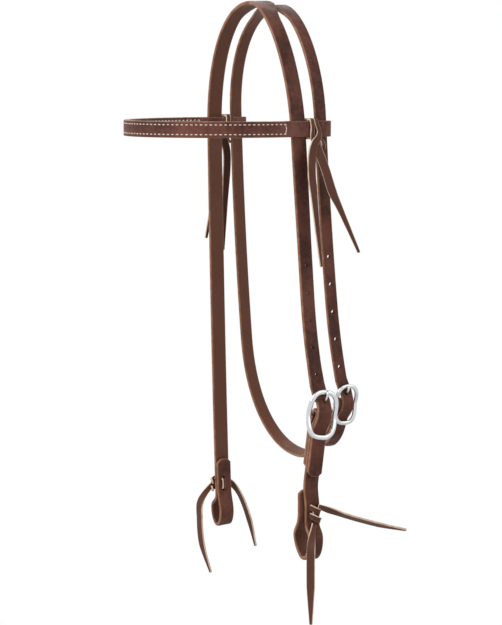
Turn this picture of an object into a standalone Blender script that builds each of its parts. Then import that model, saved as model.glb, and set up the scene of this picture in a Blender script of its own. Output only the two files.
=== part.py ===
"""Western headstall, built the way a harness maker cuts and ties it.

Metres, +Z up. The horse faces -Y, its near (left) side is +X, and the origin is the seat of the
poll, under the top of the crown. One split crown carries the near cheek billet, the near
throatlatch billet, the whole off cheek with its bit loop, and the throatlatch itself. A second
strap is the near cheek, which hangs from the cheek buckle. The browband slides on the crown.
"""

import math
from dataclasses import dataclass

import bmesh
import bpy
from mathutils import Matrix, Vector

for old in list(bpy.data.objects):
    bpy.data.objects.remove(old, do_unlink=True)
PART = bpy.data.collections.new("western_headstall")
CUTTERS = bpy.data.collections.new("cutters")
bpy.context.scene.collection.children.link(PART)
bpy.context.scene.collection.children.link(CUTTERS)

# Leather and its edges
LEATHER = 0.0040
EDGE_ROUND = 0.0011
SEAT_GAP = 0.0003
CHEEK_WIDTH = 0.0159
THROAT_WIDTH = 0.0127
CLIP_SHARE = 0.24

# Shape of the crown, measured from the top of each arch
CROWN_TOP = 0.0040
CROWN_HALF_WIDTH = 0.0770
CROWN_RISE = 0.1250
CROWN_FRONT = -0.0113
CROWN_SWEEP_RADIUS = 46.0
CROWN_LEAN_SHARE = 0.033
CROWN_FLARE_SHARE = 0.045
THROAT_TOP = 0.0002
THROAT_HALF_WIDTH = 0.0795
THROAT_RISE = 0.1050
THROAT_FRONT = 0.0145
THROAT_SWEEP_RADIUS = 9.4
THROAT_LEAN_SHARE = 0.020
THROAT_FLARE_SHARE = 0.025
POLL_SETBACK = 0.0060
POLL_CREASE = 0.0015
SLIT_TURN = 11.0
SLIT_OPEN_TURN = 30.0
SLIT_SPREAD = 0.0047
ARCH_TURNS = (90, 82, 74, 66, 58, 50, 42, 34, 26, 18)
POLL_TURNS = (SLIT_TURN, 5.5, 0.0)

# Near cheek buckle and the stack of leather that runs through it
CHEEK_BAR = Vector((0.0934, 0.0130, -0.3937))
CHEEK_LEAN_SHARES = (-0.05, 0.165)
CHEEK_BLEND = 0.0620
CHEEK_BILLET_SHIFT = 0.0062
CHEEK_FRAME_SHIFT = 0.0012
CHEEK_BEND_START = 0.0500
CHEEK_BEND_RADIUS = 50.0
CHEEK_BUCKLE_WIDTH = 0.0349
CHEEK_BUCKLE_HEIGHT = 0.0492
CHEEK_RAIL_WIDTH = 0.0050
CHEEK_RAIL_DEPTH = 0.0034
CHEEK_BAR_RADIUS = 0.0016
CHEEK_TAIL = 0.0610
CHEEK_TURN_BACK = 0.0535

# Near throatlatch buckle
THROAT_BAR = Vector((0.0885, 0.0408, -0.3860))
THROAT_BUCKLE_LEAN_SHARES = (0.12, 0.06)
THROAT_BLEND = 0.0600
THROAT_BILLET_SHIFT = 0.0032
THROAT_FRAME_SHIFT = 0.0024
THROAT_BEND_START = 0.0165
THROAT_BEND_RADIUS = 0.0340
THROAT_BUCKLE_WIDTH = 0.0276
THROAT_BUCKLE_HEIGHT = 0.0414
THROAT_RAIL_WIDTH = 0.0042
THROAT_RAIL_DEPTH = 0.0030
THROAT_BAR_RADIUS = 0.0015
THROAT_TAIL = 0.0520
THROAT_TURN_BACK = 0.0440

# Shared by both buckles
RAIL_RISE = 0.0050
SIDE_RISE = 0.0024
OVAL_POWER = 3.2
TONGUE_RADIUS = 0.0012
TONGUE_PLAY = 0.0007
TONGUE_SHORTFALL = 0.0008
SHIFT_START = 0.0125

# Throatlatch under the jaw
THROAT_LOW = Vector((-0.0150, 0.0510, -0.4529))
THROAT_LOW_SLOPE = Vector((1.0, -0.12, 0.0))
THROAT_OFF_DROP = 0.3440
THROAT_OFF_HANDLE = Vector((-0.0011, 0.0150, -0.0750))
THROAT_LOW_OFF_REACH = 0.0570
THROAT_LOW_NEAR_REACH = 0.0470
THROAT_NEAR_REACH = 0.0160
THROAT_TWIST = 22.0

# Adjustment holes
HOLE_RADIUS = 0.0020
HOLE_PITCH = 0.0274
CHEEK_HOLES_ABOVE = 5
CHEEK_HOLES_BELOW = 1
THROAT_HOLES_ABOVE = 5
THROAT_HOLES_BELOW = 0
WORN_HOLE_LENGTH = 0.0062
WORN_HOLE_WIDTH = 0.0040

# Bit loops, as (height, outward bulge, inward bulge)
NEAR_NECK = Vector((0.0955, 0.0023, -0.4990))
NEAR_NECK_LEAN_SHARES = (-0.05, 0.03)
NEAR_LOOP_SHOULDER = 0.0168
NEAR_LOOP_BELLY = 0.0194
NEAR_LOOP_OUT = 0.0070
NEAR_LOOP_SKEW = -0.0052
SKEW_START = 0.56
SKEW_SPAN = 0.30
NEAR_LOOP_IN = 0.0127
NEAR_LOOP_TURN_BACK = 0.0318
OFF_NECK_DROP = 0.5130
OFF_LOOP_SHOULDER = 0.0170
OFF_LOOP_BELLY = 0.0160
OFF_LOOP_OUT = 0.0100
OFF_LOOP_IN = 0.0040
OFF_LOOP_SKEW = 0.0
OFF_LOOP_TURN_BACK = 0.0385
LACE_HOLE_RADIUS = 0.0023
LACE_HOLE_PITCH = 0.0110
LACE_HOLE_RISE = 0.0026

# Browband
BAND_LEATHER = 0.0028
BAND_WIDTH = 0.0154
BAND_HEIGHT = -0.1176
BAND_TILT_SHARES = (0.024, -0.016)
BAND_FRONT = -0.1430
BAND_SIDE_END = -0.0250
BAND_SLIDE = 0.0050
BAND_PLAY = 0.0006
BAND_CLOSE_LENGTH = 0.0088
BAND_LAP = 0.0120
BAND_BUTT_GAP = 0.0006
BAND_ROUND = 0.0007

# Laces
LACE = 0.0022
LACE_ROUND = 0.0005
LACE_WIDTH = 0.0070
KNOT_LACE_WIDTH = 0.0064
TAIL_WIDTH = 0.0085
LACE_PEG_RADIUS = 0.0017
LACE_END = 0.0024
KNOT_LEAN = 0.0022
KNOT_PITCH = 0.0041
KNOT_START = 0.0040
NEAR_KNOT_REACH = 0.0070
OFF_KNOT_REACH = 0.0105
INNER_LACE_WIDTH = 0.0036
STRAND_WIDTH = 0.0048
BAND_LEAN = 0.0024

# Sampling of curved stretches, and shares of the sizes above
LONGEST_STEP = 0.0300
SWELL_STEPS = 6
WRAP_STEP = 20.0
SLOT_HALF = 0.0019
SLOT_REACH = 0.0072
INNER_COLUMN_SHARE = 0.4
BLEND_START = 0.0040
SWELL_SPAN_SHARE = 0.81
FRAME_RISE_SHARE = 0.70
BENT_STEP = 0.0055
LOOP_REACH_SHARE = 0.40
ROUND_REACH_SHARE = 0.55
LOOP_STEPS = 5
THROAT_STRAIGHT = 0.0060
THROAT_STEPS = 11
EYE_START = 40.0
EYE_END = 300.0
EYE_STEP = 22.0
KNEE_SHARE = 1.0
SHANK_SHARES = (0.0, 0.2, 0.4, 0.6, 0.8, 1.0)
CLOSE_SHARES = (0.25, 0.5, 0.75, 1.0)
FINE_SPLIT = 24
PUNCH_REACH = 2.0
FRAME_STEP = 9.0
RAIL_CORNER_SHARE = 3.2
BROW_STEP = 7.5
TAIL_STEPS = 3
TIP_SHARE = 0.35
TAPER_SHARE = 0.25
TWIST_SHARE = 0.45
GATHER_SHARE = 0.62
KNOT_LIFT_SHARE = 0.55
LACE_CORNER_SHARE = 0.4
HOLE_SIDES = 12
BAR_SIDES = 12
EDGE_ANGLE = 50.0
CREASE_ANGLE = 40.0
MERGE = 0.00002
LEATHER_ROUGHNESS = 0.55
LACE_ROUGHNESS = 0.70
METAL_ROUGHNESS = 0.22

BROWN = (0.105, 0.040, 0.026, 1.0)
LACE_BROWN = (0.085, 0.030, 0.020, 1.0)
NICKEL = (0.72, 0.72, 0.70, 1.0)

FORWARD_TO_BACK = Vector((0.0, 1.0, 0.0))
UPWARD = Vector((0.0, 0.0, 1.0))


# Free ends of the laces: start, way points and width direction. A start on a bit lace is given
# up, across and outward from its seat, all others are places in the whole headstall.
NEAR_BIT_TAILS = (
    ((0.0153, 0.0040, 0.0018),
     [Vector((0.1020, 0.0205, -0.4890)), Vector((0.1020, 0.0426, -0.4979)),
      Vector((0.1020, 0.0776, -0.5100)), Vector((0.1020, 0.1088, -0.5188))],
     Vector((0.85, 0.0, 0.5))),
    ((0.0080, -0.0020, 0.0025),
     [Vector((0.1080, -0.0055, -0.4950)), Vector((0.1140, -0.0095, -0.5062)),
      Vector((0.1150, -0.0105, -0.5191)), Vector((0.1130, -0.0098, -0.5369)),
      Vector((0.1110, -0.0083, -0.5675)), Vector((0.1110, -0.0080, -0.5977))],
     Vector((0.0, 1.0, 0.0))),
)
OFF_BIT_TAILS = (
    ((0.0120, 0.0030, 0.0016),
     [Vector((-0.1070, -0.0103, -0.5150)), Vector((-0.1070, -0.0120, -0.5368)),
      Vector((-0.1060, -0.0099, -0.5634)), Vector((-0.1050, -0.0002, -0.5945))],
     Vector((1.0, 0.2, 0.0))),
    ((0.0120, -0.0030, 0.0016),
     [Vector((-0.1060, 0.0258, -0.5010)), Vector((-0.1060, 0.0355, -0.5135)),
      Vector((-0.1060, 0.0432, -0.5303)), Vector((-0.1060, 0.0494, -0.5492)),
      Vector((-0.1050, 0.0547, -0.5725))],
     Vector((1.0, 0.1, 0.1))),
)
NEAR_BAND_TAILS = (
    (Vector((0.0905, 0.0070, -0.1205)),
     [Vector((0.0940, 0.0090, -0.1365)), Vector((0.0970, 0.0152, -0.1548)),
      Vector((0.1000, 0.0213, -0.1761)), Vector((0.1020, 0.0304, -0.1957)),
      Vector((0.1020, 0.0507, -0.2360))],
     Vector((0.0, 1.0, 0.3))),
    (Vector((0.0905, 0.0050, -0.1205)),
     [Vector((0.0935, 0.0022, -0.1401)), Vector((0.0950, 0.0010, -0.1590)),
      Vector((0.0975, 0.0015, -0.1752)), Vector((0.1000, 0.0038, -0.2068)),
      Vector((0.1010, 0.0085, -0.2477))],
     Vector((0.0, 1.0, 0.0))),
)
OFF_BAND_TAILS = (
    (Vector((-0.0905, 0.0070, -0.1240)),
     [Vector((-0.0950, 0.0147, -0.1521)), Vector((-0.1000, 0.0151, -0.1991)),
      Vector((-0.1040, 0.0149, -0.2517))],
     Vector((0.0, 1.0, 0.0))),
    (Vector((-0.0905, 0.0050, -0.1240)),
     [Vector((-0.0940, 0.0020, -0.1521)), Vector((-0.1000, 0.0010, -0.1985)),
      Vector((-0.1040, -0.0053, -0.2380))],
     Vector((0.0, 1.0, 0.0))),
)


@dataclass(frozen=True)
class Arch:
    """One strap's way over the poll and down both cheeks."""

    top: float
    half_width: float
    rise: float
    front: float
    lean_share: float
    flare_share: float
    sweep_radius: float

    def at(self, across_share, drop, side):
        """Centre of the strap where it is a share of its half width out and a drop below its top."""
        out = self.half_width * across_share + self.flare_share * drop
        setback = POLL_SETBACK * (1 - across_share) ** 2
        y = self.front + self.lean_share * drop + drop * drop / self.sweep_radius + setback
        return Vector((side * out, y, self.top - drop))

    def over_poll(self, turn):
        """Point of the arch at a turn in degrees: -90 off side, 0 top, +90 near side."""
        angle = math.radians(abs(turn))
        drop = self.rise * (1 - math.cos(angle))
        return self.at(math.sin(angle), drop, math.copysign(1, turn))

    def at_height(self, height, side):
        """Centre of the strap at a world height, on the arch or below it."""
        drop = self.top - height
        if drop >= self.rise:
            return self.at(1.0, drop, side)
        across_share = math.sin(math.acos(1 - drop / self.rise))
        return self.at(across_share, drop, side)


@dataclass(frozen=True)
class Seat:
    """Axes of a piece that lies on the cheek: origin, up along the strap, across and outward."""

    origin: Vector
    up: Vector
    across: Vector

    @property
    def out(self):
        return self.across.cross(self.up)

    def place(self, up, across, out):
        """World point from distances along the seat's own axes."""
        return self.origin + self.up * up + self.across * across + self.out * out

    def matrix(self):
        """Local X across, local Y up, local Z outward."""
        turn = Matrix((self.across, self.up, self.out)).transposed()
        return Matrix.Translation(self.origin) @ turn.to_4x4()


@dataclass(frozen=True)
class Buckle:
    """Sizes of a centre-bar buckle and of the leather stack that threads it."""

    seat: Seat
    width: float
    height: float
    rail_width: float
    rail_depth: float
    bar_radius: float
    shift: float
    frame_shift: float
    bend_start: float
    bend_radius: float

    def place(self, up, across, out):
        """World point in the stack, which bends inward below a given height."""
        past = -up - self.bend_start
        if past <= 0:
            return self.seat.place(up, across, out)
        angle = past / self.bend_radius
        arm = self.bend_radius + out
        return self.seat.place(-self.bend_start - arm * math.sin(angle), across,
                               arm * math.cos(angle) - self.bend_radius)

    def way_down(self, up):
        """Direction of the stack, downward, at a height below the bar."""
        angle = max(0.0, -up - self.bend_start) / self.bend_radius
        return -self.seat.up * math.cos(angle) - self.seat.out * math.sin(angle)

    @property
    def span(self):
        """From the bar to the middle of an end rail."""
        return (self.height - self.rail_width) / 2

    @property
    def stack(self):
        """Distance between the centres of two leathers that lie on each other."""
        return LEATHER + SEAT_GAP

    @property
    def wrap_radius(self):
        """Centre line of the leather that turns round the bar."""
        return self.bar_radius + SEAT_GAP + LEATHER / 2

    @property
    def strap_rest(self):
        """Outward place of the turned strap behind the lower rail."""
        under_rail = RAIL_RISE - self.rail_depth / 2 - SEAT_GAP - LEATHER / 2
        return under_rail - self.stack

    @property
    def swell_span(self):
        """Length of the swell over the bar, which ends under the rail."""
        return self.span * SWELL_SPAN_SHARE

    def swell(self, up):
        """Outward place of the turned strap at a height from the bar."""
        if abs(up) >= self.swell_span:
            return self.strap_rest
        share = (1 + math.cos(math.pi * up / self.swell_span)) / 2
        return self.strap_rest + (self.wrap_radius - self.strap_rest) * share

    def swell_slope(self, up):
        """Rise of the turned strap for its way up."""
        if abs(up) >= self.swell_span:
            return 0.0
        height = self.wrap_radius - self.strap_rest
        return -height * math.pi / (2 * self.swell_span) * math.sin(math.pi * up / self.swell_span)

    def layer(self, up, offset):
        """Up and outward place of a leather that lies an offset outside the turned strap."""
        slope = self.swell_slope(up)
        length = math.hypot(1.0, slope)
        return up - slope / length * offset, self.swell(up) + offset / length


@dataclass(frozen=True)
class Station:
    """Cross line of a strap: centre, hint of the width direction, reach to front and to back."""

    point: Vector
    hint: Vector
    front: float
    back: float
    slotted: bool = False


def smooth_share(share):
    """Eased share between 0 and 1."""
    held = min(1.0, max(0.0, share))
    return held * held * (3 - 2 * held)


def leaned_seat(bar, lean_shares):
    """Seat at a bar whose strap leans out and back by two shares as it rises."""
    up = Vector((lean_shares[0], lean_shares[1], 1.0)).normalized()
    across = (FORWARD_TO_BACK - up * up.y).normalized()
    return Seat(bar, up, across)


CHEEK_ARCH = Arch(CROWN_TOP, CROWN_HALF_WIDTH, CROWN_RISE, CROWN_FRONT,
                  CROWN_LEAN_SHARE, CROWN_FLARE_SHARE, CROWN_SWEEP_RADIUS)
THROAT_ARCH = Arch(THROAT_TOP, THROAT_HALF_WIDTH, THROAT_RISE, THROAT_FRONT,
                   THROAT_LEAN_SHARE, THROAT_FLARE_SHARE, THROAT_SWEEP_RADIUS)
CHEEK_BUCKLE = Buckle(leaned_seat(CHEEK_BAR, CHEEK_LEAN_SHARES), CHEEK_BUCKLE_WIDTH,
                      CHEEK_BUCKLE_HEIGHT, CHEEK_RAIL_WIDTH, CHEEK_RAIL_DEPTH, CHEEK_BAR_RADIUS,
                      CHEEK_BILLET_SHIFT, CHEEK_FRAME_SHIFT, CHEEK_BEND_START,
                      CHEEK_BEND_RADIUS)
THROAT_BUCKLE = Buckle(leaned_seat(THROAT_BAR, THROAT_BUCKLE_LEAN_SHARES), THROAT_BUCKLE_WIDTH,
                       THROAT_BUCKLE_HEIGHT, THROAT_RAIL_WIDTH, THROAT_RAIL_DEPTH,
                       THROAT_BAR_RADIUS, THROAT_BILLET_SHIFT, THROAT_FRAME_SHIFT,
                       THROAT_BEND_START, THROAT_BEND_RADIUS)


def even_station(point, hint, width):
    """Station whose centre lies in the middle of the strap."""
    return Station(point, hint, width / 2, width / 2)


def spread(start, end, step):
    """Evenly spread values from start to end, no further apart than a step."""
    count = max(1, math.ceil(abs(end - start) / step))
    return [start + (end - start) * index / count for index in range(count + 1)]


def bezier(points, count):
    """Points of a cubic Bezier stretch, both ends included."""
    a, b, c, d = points
    result = []
    for index in range(count + 1):
        t = index / count
        s = 1 - t
        result.append(a * s ** 3 + b * 3 * s * s * t + c * 3 * s * t * t + d * t ** 3)
    return result


def smooth_way(points, steps):
    """Curve through control points, with a number of steps between each two."""
    ends = [points[0] * 2 - points[1]] + list(points) + [points[-1] * 2 - points[-2]]
    result = []
    for index in range(len(points) - 1):
        a, b, c, d = ends[index:index + 4]
        result += bezier((b, b + (c - a) / 6, c - (d - b) / 6, c), steps)[:-1]
    return result + [points[-1]]


def cross_lines(stations, with_slot):
    """Points across every station, square to the strap's way, the slot's edges between them."""
    lines = []
    last = len(stations) - 1
    for index, station in enumerate(stations):
        before = stations[max(0, index - 1)].point
        after = stations[min(last, index + 1)].point
        way = (after - before).normalized()
        across = (station.hint - way * station.hint.dot(way)).normalized()
        slot = min(SLOT_HALF, min(station.front, station.back) * INNER_COLUMN_SHARE)
        places = [-station.front, station.back]
        if with_slot:
            places[1:1] = [-slot, slot]
        lines.append([station.point + across * place for place in places])
    return lines


def add_ribbon(surface, stations, with_slot):
    """Adds the quads of one strap to an open surface and returns its rows of vertices."""
    lines = cross_lines(stations, with_slot)
    rows = [[surface.verts.new(point) for point in line] for line in lines]
    for index in range(len(rows) - 1):
        one = rows[index]
        two = rows[index + 1]
        open_slot = with_slot and stations[index].slotted and stations[index + 1].slotted
        for column in range(len(one) - 1):
            if open_slot and column == 1:
                continue
            surface.faces.new((one[column], one[column + 1], two[column + 1], two[column]))
    return rows


def finish_sheet(surface, name, thickness, edge_round, color, roughness):
    """Turns an open surface into a leather sheet with thickness and dressed edges."""
    bmesh.ops.recalc_face_normals(surface, faces=surface.faces)
    mesh = bpy.data.meshes.new(name)
    surface.to_mesh(mesh)
    surface.free()
    sheet = bpy.data.objects.new(name, mesh)
    PART.objects.link(sheet)
    solid = sheet.modifiers.new("Thickness", "SOLIDIFY")
    solid.thickness = thickness
    solid.offset = 0.0
    solid.use_even_offset = True
    dressed = sheet.modifiers.new("Dressed edges", "BEVEL")
    dressed.width = edge_round
    dressed.segments = 1
    dressed.limit_method = "ANGLE"
    dressed.angle_limit = math.radians(EDGE_ANGLE)
    dressed.use_clamp_overlap = False
    paint(sheet, color, roughness, 0.0)
    smooth(sheet)
    return settle(sheet)


def ribbon(name, stations, with_slot, thickness, edge_round, color, roughness):
    """One strap as its own sheet."""
    surface = bmesh.new()
    add_ribbon(surface, stations, with_slot)
    return finish_sheet(surface, name, thickness, edge_round, color, roughness)


def smooth(thing):
    """Smooth shading, with creases where the surface turns sharply."""
    thing.data.shade_smooth()
    thing.data.set_sharp_from_angle(angle=math.radians(CREASE_ANGLE))


def settle(thing):
    """Replaces an object's mesh by what its modifiers make of it, with close vertices merged."""
    bpy.context.view_layer.update()
    graph = bpy.context.evaluated_depsgraph_get()
    made = bpy.data.meshes.new_from_object(thing.evaluated_get(graph))
    work = bmesh.new()
    work.from_mesh(made)
    bmesh.ops.remove_doubles(work, verts=work.verts, dist=MERGE)
    bmesh.ops.recalc_face_normals(work, faces=work.faces)
    work.to_mesh(made)
    work.free()
    made.name = thing.name
    if thing.type == "MESH":
        thing.modifiers.clear()
        thing.data = made
        return thing
    settled = bpy.data.objects.new(thing.name + "_mesh", made)
    settled.matrix_world = thing.matrix_world.copy()
    for collection in list(thing.users_collection):
        collection.objects.link(settled)
    name = thing.name
    bpy.data.objects.remove(thing, do_unlink=True)
    settled.name = name
    return settled


def paint(thing, color, roughness, metallic):
    """Gives an object its own Principled material."""
    material = bpy.data.materials.new(thing.name + "_finish")
    material.use_nodes = True
    shader = material.node_tree.nodes["Principled BSDF"]
    shader.inputs["Base Color"].default_value = color
    shader.inputs["Roughness"].default_value = roughness
    shader.inputs["Metallic"].default_value = metallic
    material.diffuse_color = color
    thing.data.materials.clear()
    thing.data.materials.append(material)


def combine(thing, cutters, operation):
    """Applies exact Booleans with every cutter to an object."""
    for cutter in cutters:
        change = thing.modifiers.new(operation.title(), "BOOLEAN")
        change.operation = operation
        change.solver = "EXACT"
        change.object = cutter
    return settle(thing)


def keep_aside(thing):
    """Moves a helper to the cutters' collection, out of sight of the build."""
    for collection in list(thing.users_collection):
        collection.objects.unlink(thing)
    CUTTERS.objects.link(thing)
    thing.hide_render = True
    thing.display_type = "WIRE"
    return thing


def round_bar(name, start, end, radius, sides):
    """Straight round bar between two points."""
    way = end - start
    work = bmesh.new()
    bmesh.ops.create_cone(work, cap_ends=True, segments=sides, radius1=radius, radius2=radius,
                          depth=way.length)
    mesh = bpy.data.meshes.new(name)
    work.to_mesh(mesh)
    work.free()
    bar = bpy.data.objects.new(name, mesh)
    turn = way.to_track_quat("Z", "Y").to_matrix().to_4x4()
    mesh.transform(Matrix.Translation((start + end) / 2) @ turn)
    PART.objects.link(bar)
    return bar


def hole_cutter(name, centre, through, along, length, width, depth):
    """Round or oval punch through a strap."""
    across = through.cross(along).normalized()
    long_way = through.cross(across).normalized()
    work = bmesh.new()
    bmesh.ops.create_cone(work, cap_ends=True, segments=HOLE_SIDES, radius1=width / 2,
                          radius2=width / 2, depth=depth)
    bmesh.ops.scale(work, vec=(1.0, length / width, 1.0), verts=work.verts)
    mesh = bpy.data.meshes.new(name)
    work.to_mesh(mesh)
    work.free()
    turn = Matrix((across, long_way, through)).transposed().to_4x4()
    mesh.transform(Matrix.Translation(centre) @ turn)
    punch = bpy.data.objects.new(name, mesh)
    PART.objects.link(punch)
    return keep_aside(punch)


def wire(name, points, radius, closed, profile):
    """Metal swept along a way, round unless a profile curve is given."""
    curve = bpy.data.curves.new(name, "CURVE")
    curve.dimensions = "3D"
    spline = curve.splines.new("POLY")
    spline.points.add(len(points) - 1)
    for point, place in zip(spline.points, points):
        point.co = (place.x, place.y, place.z, 1.0)
    spline.use_cyclic_u = closed
    if profile is None:
        curve.bevel_depth = radius
        curve.bevel_resolution = 2
    else:
        curve.bevel_mode = "OBJECT"
        curve.bevel_object = profile
        curve.twist_mode = "Z_UP"
    curve.use_fill_caps = not closed
    swept = bpy.data.objects.new(name, curve)
    PART.objects.link(swept)
    return settle(swept)


def rounded_profile(name, width, depth, corner):
    """Flat closed curve of a rail's cross-section."""
    curve = bpy.data.curves.new(name, "CURVE")
    curve.dimensions = "2D"
    places = []
    for quarter, (sx, sy) in enumerate(((1, 1), (-1, 1), (-1, -1), (1, -1))):
        for step in range(3):
            angle = math.radians(90 * quarter + 45 * step)
            places.append((sx * (width / 2 - corner) + corner * math.cos(angle),
                           sy * (depth / 2 - corner) + corner * math.sin(angle)))
    spline = curve.splines.new("POLY")
    spline.points.add(len(places) - 1)
    for point, (x, y) in zip(spline.points, places):
        point.co = (x, y, 0.0, 1.0)
    spline.use_cyclic_u = True
    shape = bpy.data.objects.new(name, curve)
    PART.objects.link(shape)
    return keep_aside(shape)


def end_narrowing(distance, clip):
    """Half width taken off a strap near its clipped end."""
    return max(0.0, clip - distance)


def billet_shift(buckle, up):
    """Sideways place of a billet that comes down more upright than its buckle."""
    top = buckle.height / 2
    return -buckle.shift * smooth_share((up - SHIFT_START) / (top - SHIFT_START))


def billet_stations(buckle, tail, width):
    """Near end of a crown strap: clipped tail, rest on the turned strap, swell over the bar."""
    stations = []
    clip = width * CLIP_SHARE
    step = LONGEST_STEP if buckle.bend_radius > tail else BENT_STEP
    ups = [-tail, -tail + clip] + spread(-tail + 2 * clip, -buckle.swell_span, step)
    ups += spread(-buckle.swell_span, buckle.swell_span, buckle.swell_span / SWELL_STEPS)[1:]
    ups.append(buckle.height / 2 + BLEND_START)
    for up in ups:
        place, out = buckle.layer(up, buckle.stack)
        half = width / 2 - end_narrowing(up + tail, clip)
        point = buckle.place(place, billet_shift(buckle, up), out)
        stations.append(Station(point, buckle.seat.across, half, half))
    return stations


def blended(arch, buckle, blend, up):
    """Centre of a billet above its buckle, where it eases into the arch's own line."""
    first = buckle.height / 2 + BLEND_START
    straight = buckle.place(up, billet_shift(buckle, up), buckle.strap_rest + buckle.stack)
    if up <= first:
        return straight
    natural = arch.at_height(straight.z, 1)
    left = 1 - (up - first) / (blend - first)
    return natural.lerp(straight, max(0.0, left) ** 2)


def leg_blend(arch, buckle, blend, width):
    """Stretch of a leg that leaves the buckle and eases into the arch's own line."""
    first = buckle.height / 2 + BLEND_START
    stations = []
    for up in spread(first, blend, BENT_STEP)[1:]:
        stations.append(even_station(blended(arch, buckle, blend, up), buckle.seat.across, width))
    return stations


def straight_leg(arch, high, low, side, width):
    """Leg between two heights, both ends left out."""
    stations = []
    for height in spread(high, low, LONGEST_STEP)[1:-1]:
        stations.append(even_station(arch.at_height(height, side), FORWARD_TO_BACK, width))
    return stations


def poll_stations(arch, width, spread_front, spread_back):
    """Arch from the near side over the poll to the off side."""
    turns = list(ARCH_TURNS) + list(POLL_TURNS)
    turns += [-turn for turn in reversed(turns[:-1])]
    stations = []
    for turn in turns:
        share = smooth_share((SLIT_OPEN_TURN - abs(turn)) / (SLIT_OPEN_TURN - SLIT_TURN))
        stations.append(Station(arch.over_poll(turn), FORWARD_TO_BACK,
                                width / 2 + spread_front * share, width / 2 + spread_back * share))
    return stations


def turned_strap(buckle, turn_back, width, ways_up):
    """Strap that comes up to a bar, turns over it and lies back down behind itself."""
    radius = buckle.wrap_radius
    half = width / 2
    step = LONGEST_STEP if buckle.bend_radius > turn_back else BENT_STEP
    swell_step = buckle.swell_span / SWELL_STEPS
    stations = []
    for up in ways_up + spread(-buckle.swell_span, 0.0, swell_step):
        stations.append(Station(buckle.place(up, 0.0, buckle.swell(up)), buckle.seat.across,
                                half, half, up >= -SLOT_REACH))
    for angle in spread(0.0, 180.0, WRAP_STEP)[1:]:
        turn = math.radians(angle)
        point = buckle.place(radius * math.sin(turn), 0.0, radius * math.cos(turn))
        stations.append(Station(point, buckle.seat.across, half, half, True))
    rest = buckle.strap_rest - buckle.stack
    for up in spread(0.0, -buckle.swell_span, swell_step)[1:]:
        share = (1 + math.cos(math.pi * up / buckle.swell_span)) / 2
        out = rest + (-radius - rest) * share
        stations.append(Station(buckle.place(up, 0.0, out), buckle.seat.across, half, half,
                                up >= -SLOT_REACH))
    clip = width * CLIP_SHARE
    ends = [-turn_back + 2 * clip, -turn_back + clip, -turn_back]
    for up in spread(-buckle.swell_span, ends[0], step)[1:] + ends[1:]:
        reach = half - end_narrowing(up + turn_back, clip)
        stations.append(Station(buckle.place(up, 0.0, rest), buckle.seat.across, reach, reach))
    return stations


def bit_loop(seat, width, shape, turn_back, skew):
    """Strap that bows out round the bit ring and lies back up on its own inner face."""
    shoulder, belly, out, inward = shape
    behind = -(LEATHER + SEAT_GAP)
    hint = seat.across * math.copysign(1, seat.across.y)
    outer = Vector((-shoulder, 0.0, out))
    inner = Vector((-shoulder, 0.0, behind - inward))
    bottom = Vector((-shoulder - belly, 0.0, (outer.z + inner.z) / 2))
    down = Vector((-1.0, 0.0, 0.0))
    inward_way = Vector((0.0, 0.0, -1.0))
    neck = Vector((0.0, 0.0, 0.0))
    back = Vector((0.0, 0.0, behind))
    reach = shoulder * LOOP_REACH_SHARE
    round_down = belly * ROUND_REACH_SHARE
    round_in = (outer.z - inner.z) / 2 * ROUND_REACH_SHARE
    places = bezier((neck, neck + down * reach, outer - down * reach, outer), LOOP_STEPS)
    places += bezier((outer, outer + down * round_down, bottom - inward_way * round_in, bottom),
                     LOOP_STEPS)[1:]
    places += bezier((bottom, bottom + inward_way * round_in, inner + down * round_down, inner),
                     LOOP_STEPS)[1:]
    places += bezier((inner, inner - down * reach, back + down * reach, back), LOOP_STEPS)[1:]
    stations = []
    for index, place in enumerate(places):
        across = skew * smooth_share((index / len(places) - SKEW_START) / SKEW_SPAN)
        stations.append(even_station(seat.place(place.x, across, place.z), hint, width))
    clip = width * CLIP_SHARE
    for up in (turn_back - 2 * clip, turn_back - clip, turn_back):
        half = width / 2 - end_narrowing(turn_back - up, clip)
        stations.append(Station(seat.place(up, skew, behind), hint, half, half))
    return stations


def off_seat():
    """Seat of the off bit loop, on the off leg where it starts to bow."""
    height = CROWN_TOP - OFF_NECK_DROP
    point = CHEEK_ARCH.at_height(height, -1)
    above = CHEEK_ARCH.at_height(height + LACE_HOLE_PITCH, -1)
    up = (above - point).normalized()
    across = (FORWARD_TO_BACK - up * up.y).normalized()
    return Seat(point, up, -across)


def near_seat():
    """Seat of the near bit loop, on the cheek strap where it starts to bow."""
    return leaned_seat(NEAR_NECK, NEAR_NECK_LEAN_SHARES)


def throat_way():
    """Throatlatch from the off leg to where it meets the bend below the near buckle."""
    start = THROAT_ARCH.at_height(-THROAT_OFF_DROP, -1)
    slope = THROAT_LOW_SLOPE.normalized()
    last_up = -THROAT_TAIL - THROAT_STRAIGHT
    end = THROAT_BUCKLE.place(last_up, 0.0, THROAT_BUCKLE.strap_rest)
    off_points = (start, start + THROAT_OFF_HANDLE, THROAT_LOW - slope * THROAT_LOW_OFF_REACH,
                  THROAT_LOW)
    near_points = (THROAT_LOW, THROAT_LOW + slope * THROAT_LOW_NEAR_REACH,
                   end + THROAT_BUCKLE.way_down(last_up) * THROAT_NEAR_REACH, end)
    points = bezier(off_points, THROAT_STEPS) + bezier(near_points, THROAT_STEPS)[1:]
    stations = []
    count = len(points) - 1
    for index, point in enumerate(points):
        share = math.sin(math.pi * index / count)
        turn = math.radians(THROAT_TWIST) * smooth_share(share)
        hint = Vector((0.0, math.cos(turn), math.sin(turn)))
        stations.append(even_station(point, hint, THROAT_WIDTH))
    return stations


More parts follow.
